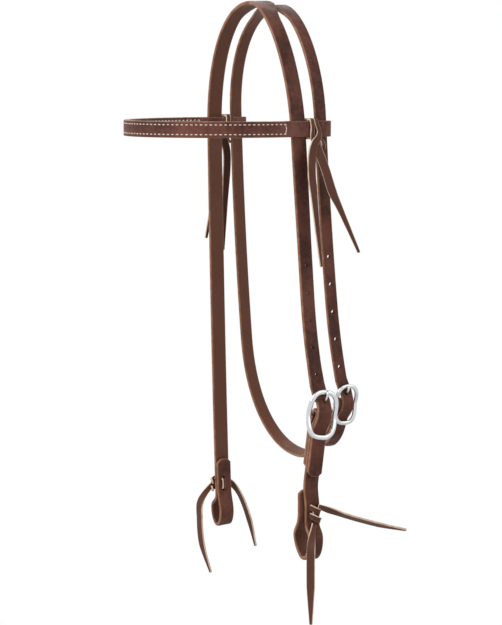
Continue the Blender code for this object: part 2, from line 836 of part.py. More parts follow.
def hole_row(arch, buckle, blend, centre_up, holes_above, holes_below, name):
    """Punches for the adjustment holes of a near billet, all but the one in use."""
    punches = []
    seat = buckle.seat
    for number in range(-holes_below, holes_above + 1):
        if number == 0:
            continue
        point = blended(arch, buckle, blend, centre_up + number * HOLE_PITCH)
        punches.append(hole_cutter(name + str(number), point, seat.out, seat.up,
                                   2 * HOLE_RADIUS, 2 * HOLE_RADIUS, PUNCH_REACH * LEATHER))
    return punches


def tongue_way(buckle):
    """Centre line of a buckle tongue as up and out pairs: eye round the bar, shank, tip."""
    eye = buckle.bar_radius + TONGUE_PLAY + TONGUE_RADIUS
    rest = RAIL_RISE + buckle.rail_depth / 2 + SEAT_GAP + TONGUE_RADIUS
    pairs = []
    for angle in spread(EYE_START, EYE_END, EYE_STEP):
        turn = math.radians(angle)
        pairs.append((eye * math.cos(turn), eye * math.sin(turn)))
    leave = math.radians(EYE_END)
    knee = (eye * math.cos(leave) - eye * math.sin(leave) * KNEE_SHARE,
            eye * math.sin(leave) + eye * math.cos(leave) * KNEE_SHARE)
    rail = (buckle.span - buckle.rail_width / 2, rest)
    tip = (buckle.height / 2 - TONGUE_SHORTFALL, rest - SEAT_GAP / 2)
    for share in SHANK_SHARES:
        eased = smooth_share(share)
        pairs.append((knee[0] + (rail[0] - knee[0]) * share, knee[1] + (rail[1] - knee[1]) * eased))
    pairs.append(((rail[0] + tip[0]) / 2, rest))
    pairs.append(tip)
    return pairs


def worn_hole(buckle, name):
    """Oval punch where the tongue's shank comes through the billet, and the hole's up place."""
    pairs = tongue_way(buckle)
    best = None
    for one, two in zip(pairs[-len(SHANK_SHARES) - 2:], pairs[-len(SHANK_SHARES) - 1:]):
        for index in range(FINE_SPLIT):
            share = index / FINE_SPLIT
            up = one[0] + (two[0] - one[0]) * share
            out = one[1] + (two[1] - one[1]) * share
            for step in range(-FINE_SPLIT, FINE_SPLIT + 1):
                place, height = buckle.layer(up + step * buckle.span / FINE_SPLIT / 2, buckle.stack)
                miss = math.hypot(place - up, height - out)
                if best is None or miss < best[0]:
                    best = (miss, up, out, two[0] - one[0], two[1] - one[1])
    miss, up, out, rise, lift = best
    seat = buckle.seat
    through = (seat.up * rise + seat.out * lift).normalized()
    along = seat.out.cross(seat.across)
    punch = hole_cutter(name, seat.place(up, 0.0, out), through, along,
                        WORN_HOLE_LENGTH, WORN_HOLE_WIDTH, PUNCH_REACH * LEATHER)
    return punch, up


def build_crown():
    """Split crown: both near billets, off cheek with its bit loop, throatlatch to its buckle."""
    surface = bmesh.new()
    cheek = billet_stations(CHEEK_BUCKLE, CHEEK_TAIL, CHEEK_WIDTH)
    cheek += leg_blend(CHEEK_ARCH, CHEEK_BUCKLE, CHEEK_BLEND, CHEEK_WIDTH)
    arch_foot = CROWN_TOP - CROWN_RISE
    cheek += straight_leg(CHEEK_ARCH, cheek[-1].point.z, arch_foot, 1, CHEEK_WIDTH)
    poll_start = len(cheek)
    cheek += poll_stations(CHEEK_ARCH, CHEEK_WIDTH, 0.0, SLIT_SPREAD)
    loop_seat = off_seat()
    cheek += straight_leg(CHEEK_ARCH, arch_foot, loop_seat.origin.z, -1, CHEEK_WIDTH)
    shape = (OFF_LOOP_SHOULDER, OFF_LOOP_BELLY, OFF_LOOP_OUT, OFF_LOOP_IN)
    cheek += bit_loop(loop_seat, CHEEK_WIDTH, shape, OFF_LOOP_TURN_BACK, OFF_LOOP_SKEW)

    throat = billet_stations(THROAT_BUCKLE, THROAT_TAIL, THROAT_WIDTH)
    throat += leg_blend(THROAT_ARCH, THROAT_BUCKLE, THROAT_BLEND, THROAT_WIDTH)
    throat_foot = THROAT_TOP - THROAT_RISE
    throat += straight_leg(THROAT_ARCH, throat[-1].point.z, throat_foot, 1, THROAT_WIDTH)
    throat_start = len(throat)
    throat += poll_stations(THROAT_ARCH, THROAT_WIDTH, SLIT_SPREAD, 0.0)
    throat += straight_leg(THROAT_ARCH, throat_foot, -THROAT_OFF_DROP, -1, THROAT_WIDTH)
    throat += throat_way()
    ways_up = spread(-THROAT_TAIL - THROAT_STRAIGHT, -THROAT_BUCKLE.swell_span, BENT_STEP)[1:-1]
    throat += turned_strap(THROAT_BUCKLE, THROAT_TURN_BACK, THROAT_WIDTH, ways_up)

    cheek_rows = add_ribbon(surface, cheek, False)
    throat_rows = add_ribbon(surface, throat, True)
    join_poll(surface, cheek_rows, throat_rows, poll_start, throat_start)
    crown = finish_sheet(surface, "crown", LEATHER, EDGE_ROUND, BROWN, LEATHER_ROUGHNESS)

    cheek_worn, cheek_up = worn_hole(CHEEK_BUCKLE, "cheek_worn_hole")
    throat_worn, throat_up = worn_hole(THROAT_BUCKLE, "throat_worn_hole")
    punches = [cheek_worn, throat_worn]
    punches += hole_row(CHEEK_ARCH, CHEEK_BUCKLE, CHEEK_BLEND, cheek_up,
                        CHEEK_HOLES_ABOVE, CHEEK_HOLES_BELOW, "cheek_hole")
    punches += hole_row(THROAT_ARCH, THROAT_BUCKLE, THROAT_BLEND, throat_up,
                        THROAT_HOLES_ABOVE, THROAT_HOLES_BELOW, "throat_hole")
    punches += lace_holes(loop_seat, "off_lace_hole")
    return combine(crown, punches, "DIFFERENCE")


def join_poll(surface, cheek_rows, throat_rows, cheek_start, throat_start):
    """Web between the two straps on top of the poll, with a shallow crease along it."""
    first = len(ARCH_TURNS)
    count = 2 * len(POLL_TURNS) - 1
    creases = []
    for index in range(first, first + count):
        back = cheek_rows[cheek_start + index][-1]
        front = throat_rows[throat_start + index][0]
        middle = (back.co + front.co) / 2 - UPWARD * POLL_CREASE
        creases.append((back, surface.verts.new(middle), front))
    for one, two in zip(creases, creases[1:]):
        for column in range(2):
            surface.faces.new((one[column], one[column + 1], two[column + 1], two[column]))


def lace_holes(seat, name):
    """Pair of punches through both leathers above a bit loop."""
    punches = []
    for number in range(2):
        up = LACE_HOLE_RISE + number * LACE_HOLE_PITCH
        centre = seat.place(up, 0.0, -(LEATHER + SEAT_GAP) / 2)
        punches.append(hole_cutter(name + str(number), centre, seat.out, seat.up,
                                   2 * LACE_HOLE_RADIUS, 2 * LACE_HOLE_RADIUS,
                                   2 * PUNCH_REACH * LEATHER))
    return punches


def build_near_cheek():
    """Near cheek strap, turned over the buckle's bar above and round the bit below."""
    seat = near_seat()
    shape = (NEAR_LOOP_SHOULDER, NEAR_LOOP_BELLY, NEAR_LOOP_OUT, NEAR_LOOP_IN)
    loop = bit_loop(seat, CHEEK_WIDTH, shape, NEAR_LOOP_TURN_BACK, NEAR_LOOP_SKEW)
    stations = list(reversed(loop))
    straight = NEAR_LOOP_TURN_BACK + SEAT_GAP
    start = seat.place(straight, 0.0, 0.0)
    last_up = -CHEEK_TAIL - BLEND_START
    end = CHEEK_BUCKLE.place(last_up, 0.0, CHEEK_BUCKLE.strap_rest)
    reach = (end - start).length / 3
    joining = bezier((start, start + seat.up * reach, end - CHEEK_BUCKLE.seat.up * reach, end), 3)
    stations += [even_station(point, FORWARD_TO_BACK, CHEEK_WIDTH) for point in joining]
    ways_up = spread(last_up, -CHEEK_BUCKLE.swell_span, LONGEST_STEP)[1:-1]
    stations += turned_strap(CHEEK_BUCKLE, CHEEK_TURN_BACK, CHEEK_WIDTH, ways_up)
    strap = ribbon("near_cheek_strap", stations, True, LEATHER, EDGE_ROUND, BROWN,
                   LEATHER_ROUGHNESS)
    return combine(strap, lace_holes(seat, "near_lace_hole"), "DIFFERENCE")


def build_buckle(buckle, name):
    """Oval frame bent so that its ends stand proud of its sides, with the bar across it."""
    half_width = (buckle.width - buckle.rail_width) / 2
    points = []
    for angle in spread(0.0, 360.0, FRAME_STEP)[:-1]:
        turn = math.radians(angle)
        cosine = math.cos(turn)
        sine = math.sin(turn)
        across = half_width * math.copysign(abs(cosine) ** (2 / OVAL_POWER), cosine)
        up = buckle.span * math.copysign(abs(sine) ** (2 / OVAL_POWER), sine)
        share = smooth_share(abs(up) / (buckle.span * FRAME_RISE_SHARE))
        rise = SIDE_RISE + (RAIL_RISE - SIDE_RISE) * share
        points.append(Vector((across + buckle.frame_shift, up, rise)))
    corner = min(buckle.rail_width, buckle.rail_depth) / RAIL_CORNER_SHARE
    profile = rounded_profile(name + "_profile", buckle.rail_width, buckle.rail_depth, corner)
    frame = wire(name, points, 0.0, True, profile)
    frame.data.transform(buckle.seat.matrix())
    seat = buckle.seat
    bar = round_bar(name + "_bar", seat.place(0.0, buckle.frame_shift - half_width, 0.0),
                    seat.place(0.0, buckle.frame_shift + half_width, 0.0),
                    buckle.bar_radius, BAR_SIDES)
    frame = combine(frame, [keep_aside(bar)], "UNION")
    paint(frame, NICKEL, METAL_ROUGHNESS, 1.0)
    smooth(frame)
    return frame


def build_tongue(buckle, name):
    """Wire tongue, its eye hooked on the bar and its tip laid on the upper rail."""
    places = [buckle.seat.place(up, 0.0, out) for up, out in tongue_way(buckle)]
    tongue = wire(name, places, TONGUE_RADIUS, False, None)
    paint(tongue, NICKEL, METAL_ROUGHNESS, 1.0)
    smooth(tongue)
    set_origin(tongue, buckle.seat.origin)
    return tongue


def set_origin(thing, point):
    """Moves an object's origin to a point without moving its shape."""
    thing.data.transform(Matrix.Translation(-point))
    thing.matrix_world = Matrix.Translation(point)


@dataclass(frozen=True)
class Band:
    """Plan of the browband: two straight sides with pockets, and a half oval round the brow."""

    outer: float
    inner: float
    back: float

    @property
    def turn_radius(self):
        """Fold behind the legs."""
        return (self.outer - self.inner) / 2


def band_height(x, y):
    """Height of the browband's middle line at a place of its plan."""
    return BAND_HEIGHT + BAND_TILT_SHARES[0] * x + BAND_TILT_SHARES[1] * y


def band_upward():
    """Width direction of the browband, square to its tilted plane."""
    return Vector((-BAND_TILT_SHARES[0], -BAND_TILT_SHARES[1], 1.0)).normalized()


def pocket_band():
    """Band whose pockets clear both legs over the whole of its slide."""
    reach = BAND_WIDTH / 2 + BAND_SLIDE
    outs = []
    backs = []
    for side in (1, -1):
        middle = band_height(side * CROWN_HALF_WIDTH, 0.0)
        for height in (middle - reach, middle, middle + reach):
            outs.append(CHEEK_ARCH.at_height(height, 1).x)
            outs.append(THROAT_ARCH.at_height(height, 1).x)
            backs.append(THROAT_ARCH.at_height(height, 1).y)
    clear = LEATHER / 2 + BAND_PLAY + BAND_LEATHER / 2
    back = max(backs) + THROAT_WIDTH / 2 + BAND_PLAY
    return Band(max(outs) + clear, min(outs) - clear, back)


def brow_oval(half_width, front, angles):
    """Half oval forward of the pockets, from one side to the other."""
    points = []
    for angle in angles:
        turn = math.radians(angle)
        points.append(Vector((half_width * math.cos(turn),
                              BAND_SIDE_END - (BAND_SIDE_END - front) * math.sin(turn), 0.0)))
    return points


def band_stations(points):
    """Upright strap along a way given in plan."""
    stations = []
    for point in points:
        place = Vector((point.x, point.y, band_height(point.x, point.y)))
        stations.append(even_station(place, band_upward(), BAND_WIDTH))
    return stations


def pocket_way(band, stop):
    """Level way of one pocket, from the stitched end of its turn back round behind the legs."""
    lining = band.outer - BAND_LEATHER - SEAT_GAP
    ease = BAND_CLOSE_LENGTH
    points = [Vector((lining, stop, 0.0)), Vector((lining, BAND_SIDE_END, 0.0))]
    for share in CLOSE_SHARES:
        inward = lining + (band.inner - lining) * smooth_share(share)
        points.append(Vector((inward, BAND_SIDE_END + ease * share, 0.0)))
    middle = (band.outer + band.inner) / 2
    start = band.back + BAND_LEATHER / 2 - band.turn_radius
    for angle in spread(180.0, 0.0, WRAP_STEP):
        turn = math.radians(angle)
        points.append(Vector((middle + band.turn_radius * math.cos(turn),
                              start + band.turn_radius * math.sin(turn), 0.0)))
    points.append(Vector((band.outer, BAND_SIDE_END + ease, 0.0)))
    return points


def build_browband():
    """Outer leather with both ends turned in as pockets, and the lining between the turned ends."""
    band = pocket_band()
    stop = BAND_SIDE_END - BAND_LAP
    near = pocket_way(band, stop)
    angles = spread(0.0, 180.0, BROW_STEP)
    front = brow_oval(band.outer, BAND_FRONT, angles)
    off = [Vector((-point.x, point.y, 0.0)) for point in reversed(near)]
    face = ribbon("browband_face", band_stations(near + front + off), False,
                  BAND_LEATHER, BAND_ROUND, BROWN, LEATHER_ROUGHNESS)
    inset = BAND_LEATHER + SEAT_GAP
    lining_points = [point for point in brow_oval(band.outer - inset, BAND_FRONT + inset, angles)
                     if point.y < stop - BAND_BUTT_GAP]
    lining = ribbon("browband_lining", band_stations(lining_points), False,
                    BAND_LEATHER, BAND_ROUND, BROWN, LEATHER_ROUGHNESS)
    return band, face, lining


def lace(name, stations):
    """Flat lace along its stations."""
    return ribbon(name, stations, False, LACE, LACE_ROUND, LACE_BROWN, LACE_ROUGHNESS)


def lace_tail(name, start, way_points, hint, outward):
    """Free end of a lace: gathered and flat on the leather, turned to its hint, cut to a tip."""
    points = smooth_way([start] + way_points, TAIL_STEPS)
    flat = outward.cross(points[1] - points[0]).normalized()
    if flat.dot(hint) < 0:
        flat = -flat
    stations = []
    count = len(points) - 1
    for index, point in enumerate(points):
        done = index / count
        opened = GATHER_SHARE + (1 - GATHER_SHARE) * smooth_share(done / TWIST_SHARE)
        cut = TIP_SHARE + (1 - TIP_SHARE) * min(1.0, (1 - done) / TAPER_SHARE)
        turned = flat.lerp(hint.normalized(), smooth_share(done / TWIST_SHARE))
        stations.append(even_station(point, turned, TAIL_WIDTH * opened * cut))
    return lace(name, stations)


def fuse(name, parts):
    """Joins overlapping pieces of one lace into one body."""
    first = parts[0]
    helpers = [keep_aside(part) for part in parts[1:]]
    fused = combine(first, helpers, "UNION")
    fused.name = name
    paint(fused, LACE_BROWN, LACE_ROUGHNESS, 0.0)
    smooth(fused)
    return fused


def strand(name, way, hint, width):
    """Short curved stretch of lace through a few places."""
    return lace(name, [even_station(p, hint, width) for p in smooth_way(way, TAIL_STEPS)])


def bit_lace(seat, name, tails, knot_reach):
    """Lace through both holes above a bit loop, wrapped twice over one edge of the outer face."""
    outer = LEATHER / 2 + SEAT_GAP + LACE / 2
    inner = -LEATHER * 3 / 2 - SEAT_GAP * 2 - LACE / 2
    low = LACE_HOLE_RISE
    high = LACE_HOLE_RISE + LACE_HOLE_PITCH
    middle = (low + high) / 2
    inside = [seat.place(up, 0.0, inner) for up in (low - LACE_END, middle, high + LACE_END)]
    parts = [strand(name, inside, FORWARD_TO_BACK, INNER_LACE_WIDTH)]
    lift = LACE * KNOT_LIFT_SHARE
    for number, up in enumerate((low, high)):
        parts.append(round_bar(name + "_peg" + str(number), seat.place(up, 0.0, inner),
                               seat.place(up, 0.0, outer + lift / 2), LACE_PEG_RADIUS, BAR_SIDES))
    outside = [seat.place(low - LACE_END, 0.0, outer), seat.place(middle, 0.0, outer + lift),
               seat.place(high + LACE_END, 0.0, outer)]
    parts.append(strand(name + "_strand", outside, FORWARD_TO_BACK, KNOT_LACE_WIDTH))
    for number, side in enumerate((1, -1)):
        up = middle + side * KNOT_PITCH
        proud = outer + lift * (2 + number / 2)
        wrap = [seat.place(up + KNOT_LEAN, -KNOT_START, outer + lift / 2),
                seat.place(up, (knot_reach - KNOT_START) / 2, proud),
                seat.place(up - KNOT_LEAN, knot_reach, outer + lift / 2)]
        parts.append(strand(name + "_wrap" + str(number), wrap, seat.up, KNOT_LACE_WIDTH))
    for number, (start, points, tail_hint) in enumerate(tails):
        begin = seat.place(start[0], start[1], outer + start[2])
        parts.append(lace_tail(name + "_tail" + str(number), begin, points, tail_hint, seat.out))
    return fuse(name, parts)


def band_lace(band, side, name, tails):
    """Lace round the browband between the two legs, crossed on the outer face."""
    height = band_height(side * band.outer, 0.0)
    gap_front = CHEEK_ARCH.at_height(height, 1).y + CHEEK_WIDTH / 2
    gap_back = THROAT_ARCH.at_height(height, 1).y - THROAT_WIDTH / 2
    middle = (gap_front + gap_back) / 2
    clear = BAND_LEATHER / 2 + SEAT_GAP + LACE / 2
    rise = BAND_WIDTH / 2 + SEAT_GAP + LACE / 2
    out = band.outer + clear
    inn = band.inner - clear

    def beside(x, y, up):
        """Place beside the band, up from its middle line."""
        return Vector((side * x, y, band_height(side * x, y))) + band_upward() * up

    cut = LACE * LACE_CORNER_SHARE
    loop = [(out, rise - cut), (out - cut, rise), (inn + cut, rise), (inn, rise - cut),
            (inn, cut - rise), (inn + cut, -rise), (out - cut, -rise), (out, cut - rise)]
    ring = [beside(x, middle, up) for x, up in loop]
    parts = [closed_ribbon(name, ring, FORWARD_TO_BACK, LACE_WIDTH)]
    ends = out + LACE * KNOT_LIFT_SHARE / 2
    for number, lean in enumerate((1, -1)):
        proud = out + LACE * KNOT_LIFT_SHARE * (number + 1)
        way = [beside(ends, middle - lean * BAND_LEAN, rise - clear),
               beside(proud, middle, 0.0),
               beside(ends, middle + lean * BAND_LEAN, clear - rise)]
        parts.append(strand(name + "_strand" + str(number), way, FORWARD_TO_BACK, STRAND_WIDTH))
    for number, (start, points, hint) in enumerate(tails):
        outward = Vector((side, 0.0, 0.0))
        parts.append(lace_tail(name + "_tail" + str(number), start, points, hint, outward))
    return fuse(name, parts)


def closed_ribbon(name, points, hint, width):
    """Flat lace that closes on itself."""
    surface = bmesh.new()
    half = hint * (width / 2)
    rows = [(surface.verts.new(p - half), surface.verts.new(p + half)) for p in points]
    for one, two in zip(rows, rows[1:] + rows[:1]):
        surface.faces.new((one[0], one[1], two[1], two[0]))
    return finish_sheet(surface, name, LACE, LACE_ROUND, LACE_BROWN, LACE_ROUGHNESS)


def build():
    """Makes every piece of the headstall."""
    build_crown()
    build_near_cheek()
    build_buckle(CHEEK_BUCKLE, "cheek_buckle_frame")
    build_buckle(THROAT_BUCKLE, "throat_buckle_frame")
    build_tongue(CHEEK_BUCKLE, "cheek_buckle_tongue")
    build_tongue(THROAT_BUCKLE, "throat_buckle_tongue")
    band, face, lining = build_browband()
    band_lace(band, 1, "near_browband_lace", NEAR_BAND_TAILS)
    band_lace(band, -1, "off_browband_lace", OFF_BAND_TAILS)
    bit_lace(near_seat(), "near_bit_lace", NEAR_BIT_TAILS, NEAR_KNOT_REACH)
    bit_lace(off_seat(), "off_bit_lace", OFF_BIT_TAILS, OFF_KNOT_REACH)


build()
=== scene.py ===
"""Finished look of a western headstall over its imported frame.

Metres, +Z up. The horse faces -Y and its near (left) side is +X. The straps, laces and buckles are
swept along the same ways as the solids of the frame, finer, and dressed as oiled leather, cut lace
and nickel.
"""

from __future__ import annotations

import logging
from dataclasses import dataclass, field
from enum import Enum
from math import acos, ceil, copysign, cos, hypot, inf, pi, radians, sin, tau

import bmesh
import bpy
from bpy.types import Material, Mesh, Node, NodeTree
from mathutils import Matrix, Vector

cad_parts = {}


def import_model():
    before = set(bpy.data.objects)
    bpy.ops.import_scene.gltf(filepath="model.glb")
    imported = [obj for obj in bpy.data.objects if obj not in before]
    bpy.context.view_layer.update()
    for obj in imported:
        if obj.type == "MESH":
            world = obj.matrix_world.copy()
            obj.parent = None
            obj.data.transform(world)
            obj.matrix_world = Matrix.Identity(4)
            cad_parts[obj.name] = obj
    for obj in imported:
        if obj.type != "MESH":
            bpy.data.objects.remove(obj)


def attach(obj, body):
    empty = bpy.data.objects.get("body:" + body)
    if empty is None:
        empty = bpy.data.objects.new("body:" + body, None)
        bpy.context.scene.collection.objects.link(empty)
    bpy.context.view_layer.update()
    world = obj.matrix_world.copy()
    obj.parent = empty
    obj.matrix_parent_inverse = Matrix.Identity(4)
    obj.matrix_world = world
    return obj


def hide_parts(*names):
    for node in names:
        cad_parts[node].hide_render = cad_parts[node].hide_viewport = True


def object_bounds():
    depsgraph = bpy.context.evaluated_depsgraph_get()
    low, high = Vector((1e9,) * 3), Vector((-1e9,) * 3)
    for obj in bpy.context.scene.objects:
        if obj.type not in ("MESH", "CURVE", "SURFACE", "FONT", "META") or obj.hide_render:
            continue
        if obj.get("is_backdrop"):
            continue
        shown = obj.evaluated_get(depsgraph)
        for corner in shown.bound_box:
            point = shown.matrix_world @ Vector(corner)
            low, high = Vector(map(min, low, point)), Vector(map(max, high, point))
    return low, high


LOG = logging.getLogger("headstall")
BACKWARD = Vector((0.0, 1.0, 0.0))
UPWARD = Vector((0.0, 0.0, 1.0))
SMOOTH_TURN = radians(48)
PUNCHED_TURN = radians(40)
Color = tuple[float, float, float, float]
Shape = tuple[float, float, float, float]
Triple = tuple[float, float, float]
Pair = tuple[float, float]
Thing = bpy.types.Object
Socket = bpy.types.NodeSocket


class Slot(Enum):
    """Material slots of the record."""

    BRIDLE = "bridle_leather"
    LINING = "lining_leather"
    LACE = "lace_leather"
    NICKEL = "nickel"


class Body(Enum):
    """Moving bodies of the frame."""

    HEADSTALL = "headstall"
    NEAR_CHEEK = "near_cheek"
    CHEEK_TONGUE = "cheek_tongue"
    THROAT_TONGUE = "throat_tongue"
    BROWBAND = "browband"


@dataclass(frozen=True)
class Fineness:
    """How closely the ways are sampled, in metres, degrees or steps."""

    straight: float = 0.0060
    bent: float = 0.0016
    eased: float = 0.0030
    swell_steps: int = 18
    wrap_step: float = 6.0
    arch_step: float = 2.0
    loop_steps: int = 14
    throat_steps: int = 44
    joining_steps: int = 20
    brow_step: float = 2.0
    tail_steps: int = 9
    strand_steps: int = 8
    frame_step: float = 3.0
    eye_step: float = 7.0
    shank_steps: int = 18
    coarse_eye_step: float = 22.0
    coarse_shank_steps: int = 5
    crossing_steps: int = 24
    punch_sides: int = 32
    wire_sides: int = 20


FINE = Fineness()


def smooth_share(share: float) -> float:
    """Ease a share between 0 and 1."""
    held = min(1.0, max(0.0, share))
    return held * held * (3 - 2 * held)


def spread(start: float, end: float, step: float) -> list[float]:
    """Spread values evenly from start to end, both included, at most a step apart."""
    count = max(1, ceil(abs(end - start) / step - 1e-9))
    return [start + (end - start) * index / count for index in range(count + 1)]


def bezier(points: tuple[Vector, Vector, Vector, Vector], count: int) -> list[Vector]:
    """Sample a cubic Bezier stretch.

    Args:
        points: End, two handles and other end.
        count: Number of steps.

    Returns:
        The points, both ends included.
    """
    a, b, c, d = points
    result = []
    for index in range(count + 1):
        t = index / count
        s = 1 - t
        result.append(a * s ** 3 + b * 3 * s * s * t + c * 3 * s * t * t + d * t ** 3)
    return result


def smooth_way(points: list[Vector], steps: int) -> list[Vector]:
    """Run a smooth curve through control points.

    Args:
        points: Places the curve passes through.
        steps: Steps between each two of them.

    Returns:
        The sampled curve.
    """
    ends = [points[0] * 2 - points[1]] + list(points) + [points[-1] * 2 - points[-2]]
    result: list[Vector] = []
    for index in range(len(points) - 1):
        a, b, c, d = ends[index:index + 4]
        result += bezier((b, b + (c - a) / 6, c - (d - b) / 6, c), steps)[:-1]
    return result + [points[-1]]


def directions(points: list[Vector]) -> list[Vector]:
    """Direction of a way at each of its points."""
    ends = [points[0], *points, points[-1]]
    return [(after - before).normalized() for before, after in zip(ends, ends[2:])]


def squared(angle: float, power: float) -> list[float]:
    """Cosine and sine of an angle on a softly squared circle."""
    return [copysign(abs(value) ** (2 / power), value) for value in (cos(angle), sin(angle))]


@dataclass(frozen=True)
class Arch:
    """One strap's way over the poll and down both cheeks."""

    top: float
    half_width: float
    rise: float
    front: float
    lean_share: float
    flare_share: float
    sweep_radius: float
    setback: float = 0.0060

    def at(self, across_share: float, drop: float, side: float) -> Vector:
        """Place the strap's centre at a share of its half width and a drop below its top.

        Args:
            across_share: Share of the half width, 0 on top and 1 down the cheeks.
            drop: Distance below the top.
            side: +1 near, -1 off.

        Returns:
            Centre of the strap.
        """
        out = self.half_width * across_share + self.flare_share * drop
        back = self.setback * (1 - across_share) ** 2
        y = self.front + self.lean_share * drop + drop * drop / self.sweep_radius + back
        return Vector((side * out, y, self.top - drop))

    def over_poll(self, turn: float) -> Vector:
        """Place the centre at a turn in degrees, -90 off side to +90 near side."""
        share, height = sin(radians(abs(turn))), cos(radians(abs(turn)))
        return self.at(share, self.rise * (1 - height), copysign(1, turn))

    def at_height(self, height: float, side: float) -> Vector:
        """Place the centre at a world height, on the arch or below it.

        Args:
            height: World height.
            side: +1 near, -1 off.

        Returns:
            Centre of the strap.
        """
        drop = self.top - height
        if drop >= self.rise:
            return self.at(1.0, drop, side)
        return self.at(sin(acos(1 - drop / self.rise)), drop, side)


@dataclass(frozen=True)
class Seat:
    """Axes of a piece on the cheek: origin, up along the strap, across it, and outward."""

    origin: Vector
    up: Vector
    across: Vector

    @property
    def out(self) -> Vector:
        """Outward direction."""
        return self.across.cross(self.up)

    def place(self, up: float, across: float, out: float) -> Vector:
        """Turn distances along the seat's axes into a world point."""
        return self.origin + self.up * up + self.across * across + self.out * out


def leaned_seat(bar: Vector, lean_shares: Pair) -> Seat:
    """Seat whose strap leans out and back by two shares as it rises."""
    up = Vector((lean_shares[0], lean_shares[1], 1.0)).normalized()
    return Seat(bar, up, (BACKWARD - up * up.y).normalized())


@dataclass(frozen=True)
class Leather:
    """Thickness of the strap leather and the gap between two leathers that lie together."""

    thickness: float = 0.0040
    gap: float = 0.0003
    cheek_width: float = 0.0159
    throat_width: float = 0.0127
    clip_share: float = 0.24

    @property
    def stack(self) -> float:
        """Distance between the centres of two leathers."""
        return self.thickness + self.gap


LEATHER = Leather()
LACE_PITCH = 0.0110
LACE_HOLE_WIDTH = 0.0046
SLOT_REACH = 0.0072
SLOT_WIDTH = 0.0038
SLOT_EXTRA = 0.0004
NEAR_LACE_HOLE: Pair = (0.0026, 0.0)
OFF_LACE_HOLE: Pair = (0.0070, 0.0020)


@dataclass(frozen=True)
class Buckle:
    """Centre-bar buckle and the leather stack that threads it."""

    seat: Seat
    width: float
    height: float
    rail_width: float
    rail_depth: float
    bar_radius: float
    shift: float
    frame_shift: float
    bend_start: float
    bend_radius: float
    tail: float
    turn_back: float
    blend: float
    strap_width: float
    rail_rise: float = 0.0050
    side_rise: float = 0.0028
    swell_span_share: float = 0.81
    shift_start: float = 0.0105
    blend_start: float = 0.0040
    rest_shift: float = 0.0
    twist: float = 0.0
    twist_top: float = -0.1500
    twist_foot_span: float = 0.030
    twist_top_span: float = 0.090

    def place(self, up: float, across: float, out: float) -> Vector:
        """World point in the stack, which bends inward below a given height.

        Args:
            up: Height from the bar.
            across: Distance across the strap.
            out: Distance outward.

        Returns:
            The point.
        """
        past = -up - self.bend_start
        if past <= 0:
            return self.seat.place(up, across, out)
        angle = past / self.bend_radius
        arm = self.bend_radius + out
        return self.seat.place(-self.bend_start - arm * sin(angle), across,
                               arm * cos(angle) - self.bend_radius)

    def way_down(self, up: float) -> Vector:
        """Downward direction of the stack at a height below the bar."""
        angle = max(0.0, -up - self.bend_start) / self.bend_radius
        return -self.seat.up * cos(angle) - self.seat.out * sin(angle)

    @property
    def step(self) -> float:
        """Sampling step of the stack below the bar."""
        return FINE.straight if self.bend_radius > self.tail else FINE.bent

    @property
    def span(self) -> float:
        """From the bar to the middle of an end rail."""
        return (self.height - self.rail_width) / 2

    @property
    def wrap_radius(self) -> float:
        """Centre line of the leather round the bar."""
        return self.bar_radius + LEATHER.gap + LEATHER.thickness / 2

    @property
    def strap_rest(self) -> float:
        """Outward place of the turned strap behind the lower rail."""
        under_rail = self.rail_rise - self.rail_depth / 2 - LEATHER.gap - LEATHER.thickness / 2
        return under_rail - LEATHER.stack

    @property
    def swell_span(self) -> float:
        """Length of the swell over the bar."""
        return self.span * self.swell_span_share

    def swell(self, up: float) -> float:
        """Outward place of the turned strap at a height from the bar.

        Args:
            up: Height from the bar.

        Returns:
            The outward place.
        """
        if abs(up) >= self.swell_span:
            return self.strap_rest
        share = (1 + cos(pi * up / self.swell_span)) / 2
        return self.strap_rest + (self.wrap_radius - self.strap_rest) * share

    def layer(self, up: float, offset: float) -> Pair:
        """Up and outward place of a leather that lies an offset outside the turned strap.

        Args:
            up: Height from the bar.
            offset: Distance outside the turned strap.

        Returns:
            Up and outward place.
        """
        slope = 0.0
        if abs(up) < self.swell_span:
            height = self.wrap_radius - self.strap_rest
            slope = -height * pi / (2 * self.swell_span) * sin(pi * up / self.swell_span)
        length = hypot(1.0, slope)
        return up - slope / length * offset, self.swell(up) + offset / length

    def billet_shift(self, up: float) -> float:
        """Sideways place of the billet, which comes down more upright than its buckle.

        Args:
            up: Height from the bar.

        Returns:
            Distance across the strap.
        """
        top = self.height / 2 + self.blend_start
        leaving = smooth_share((up - self.shift_start) / (top - self.shift_start))
        inside = smooth_share((up + self.height / 2) / self.shift_start) * (1 - leaving)
        return self.rest_shift * inside - self.shift * leaving


@dataclass(frozen=True)
class Station:
    """Cross line of a strap: centre, width direction, reach to front and to back."""

    point: Vector
    hint: Vector
    front: float
    back: float


def even_station(point: Vector, hint: Vector, width: float) -> Station:
    """Station whose centre lies in the middle of the strap."""
    return Station(point, hint, width / 2, width / 2)


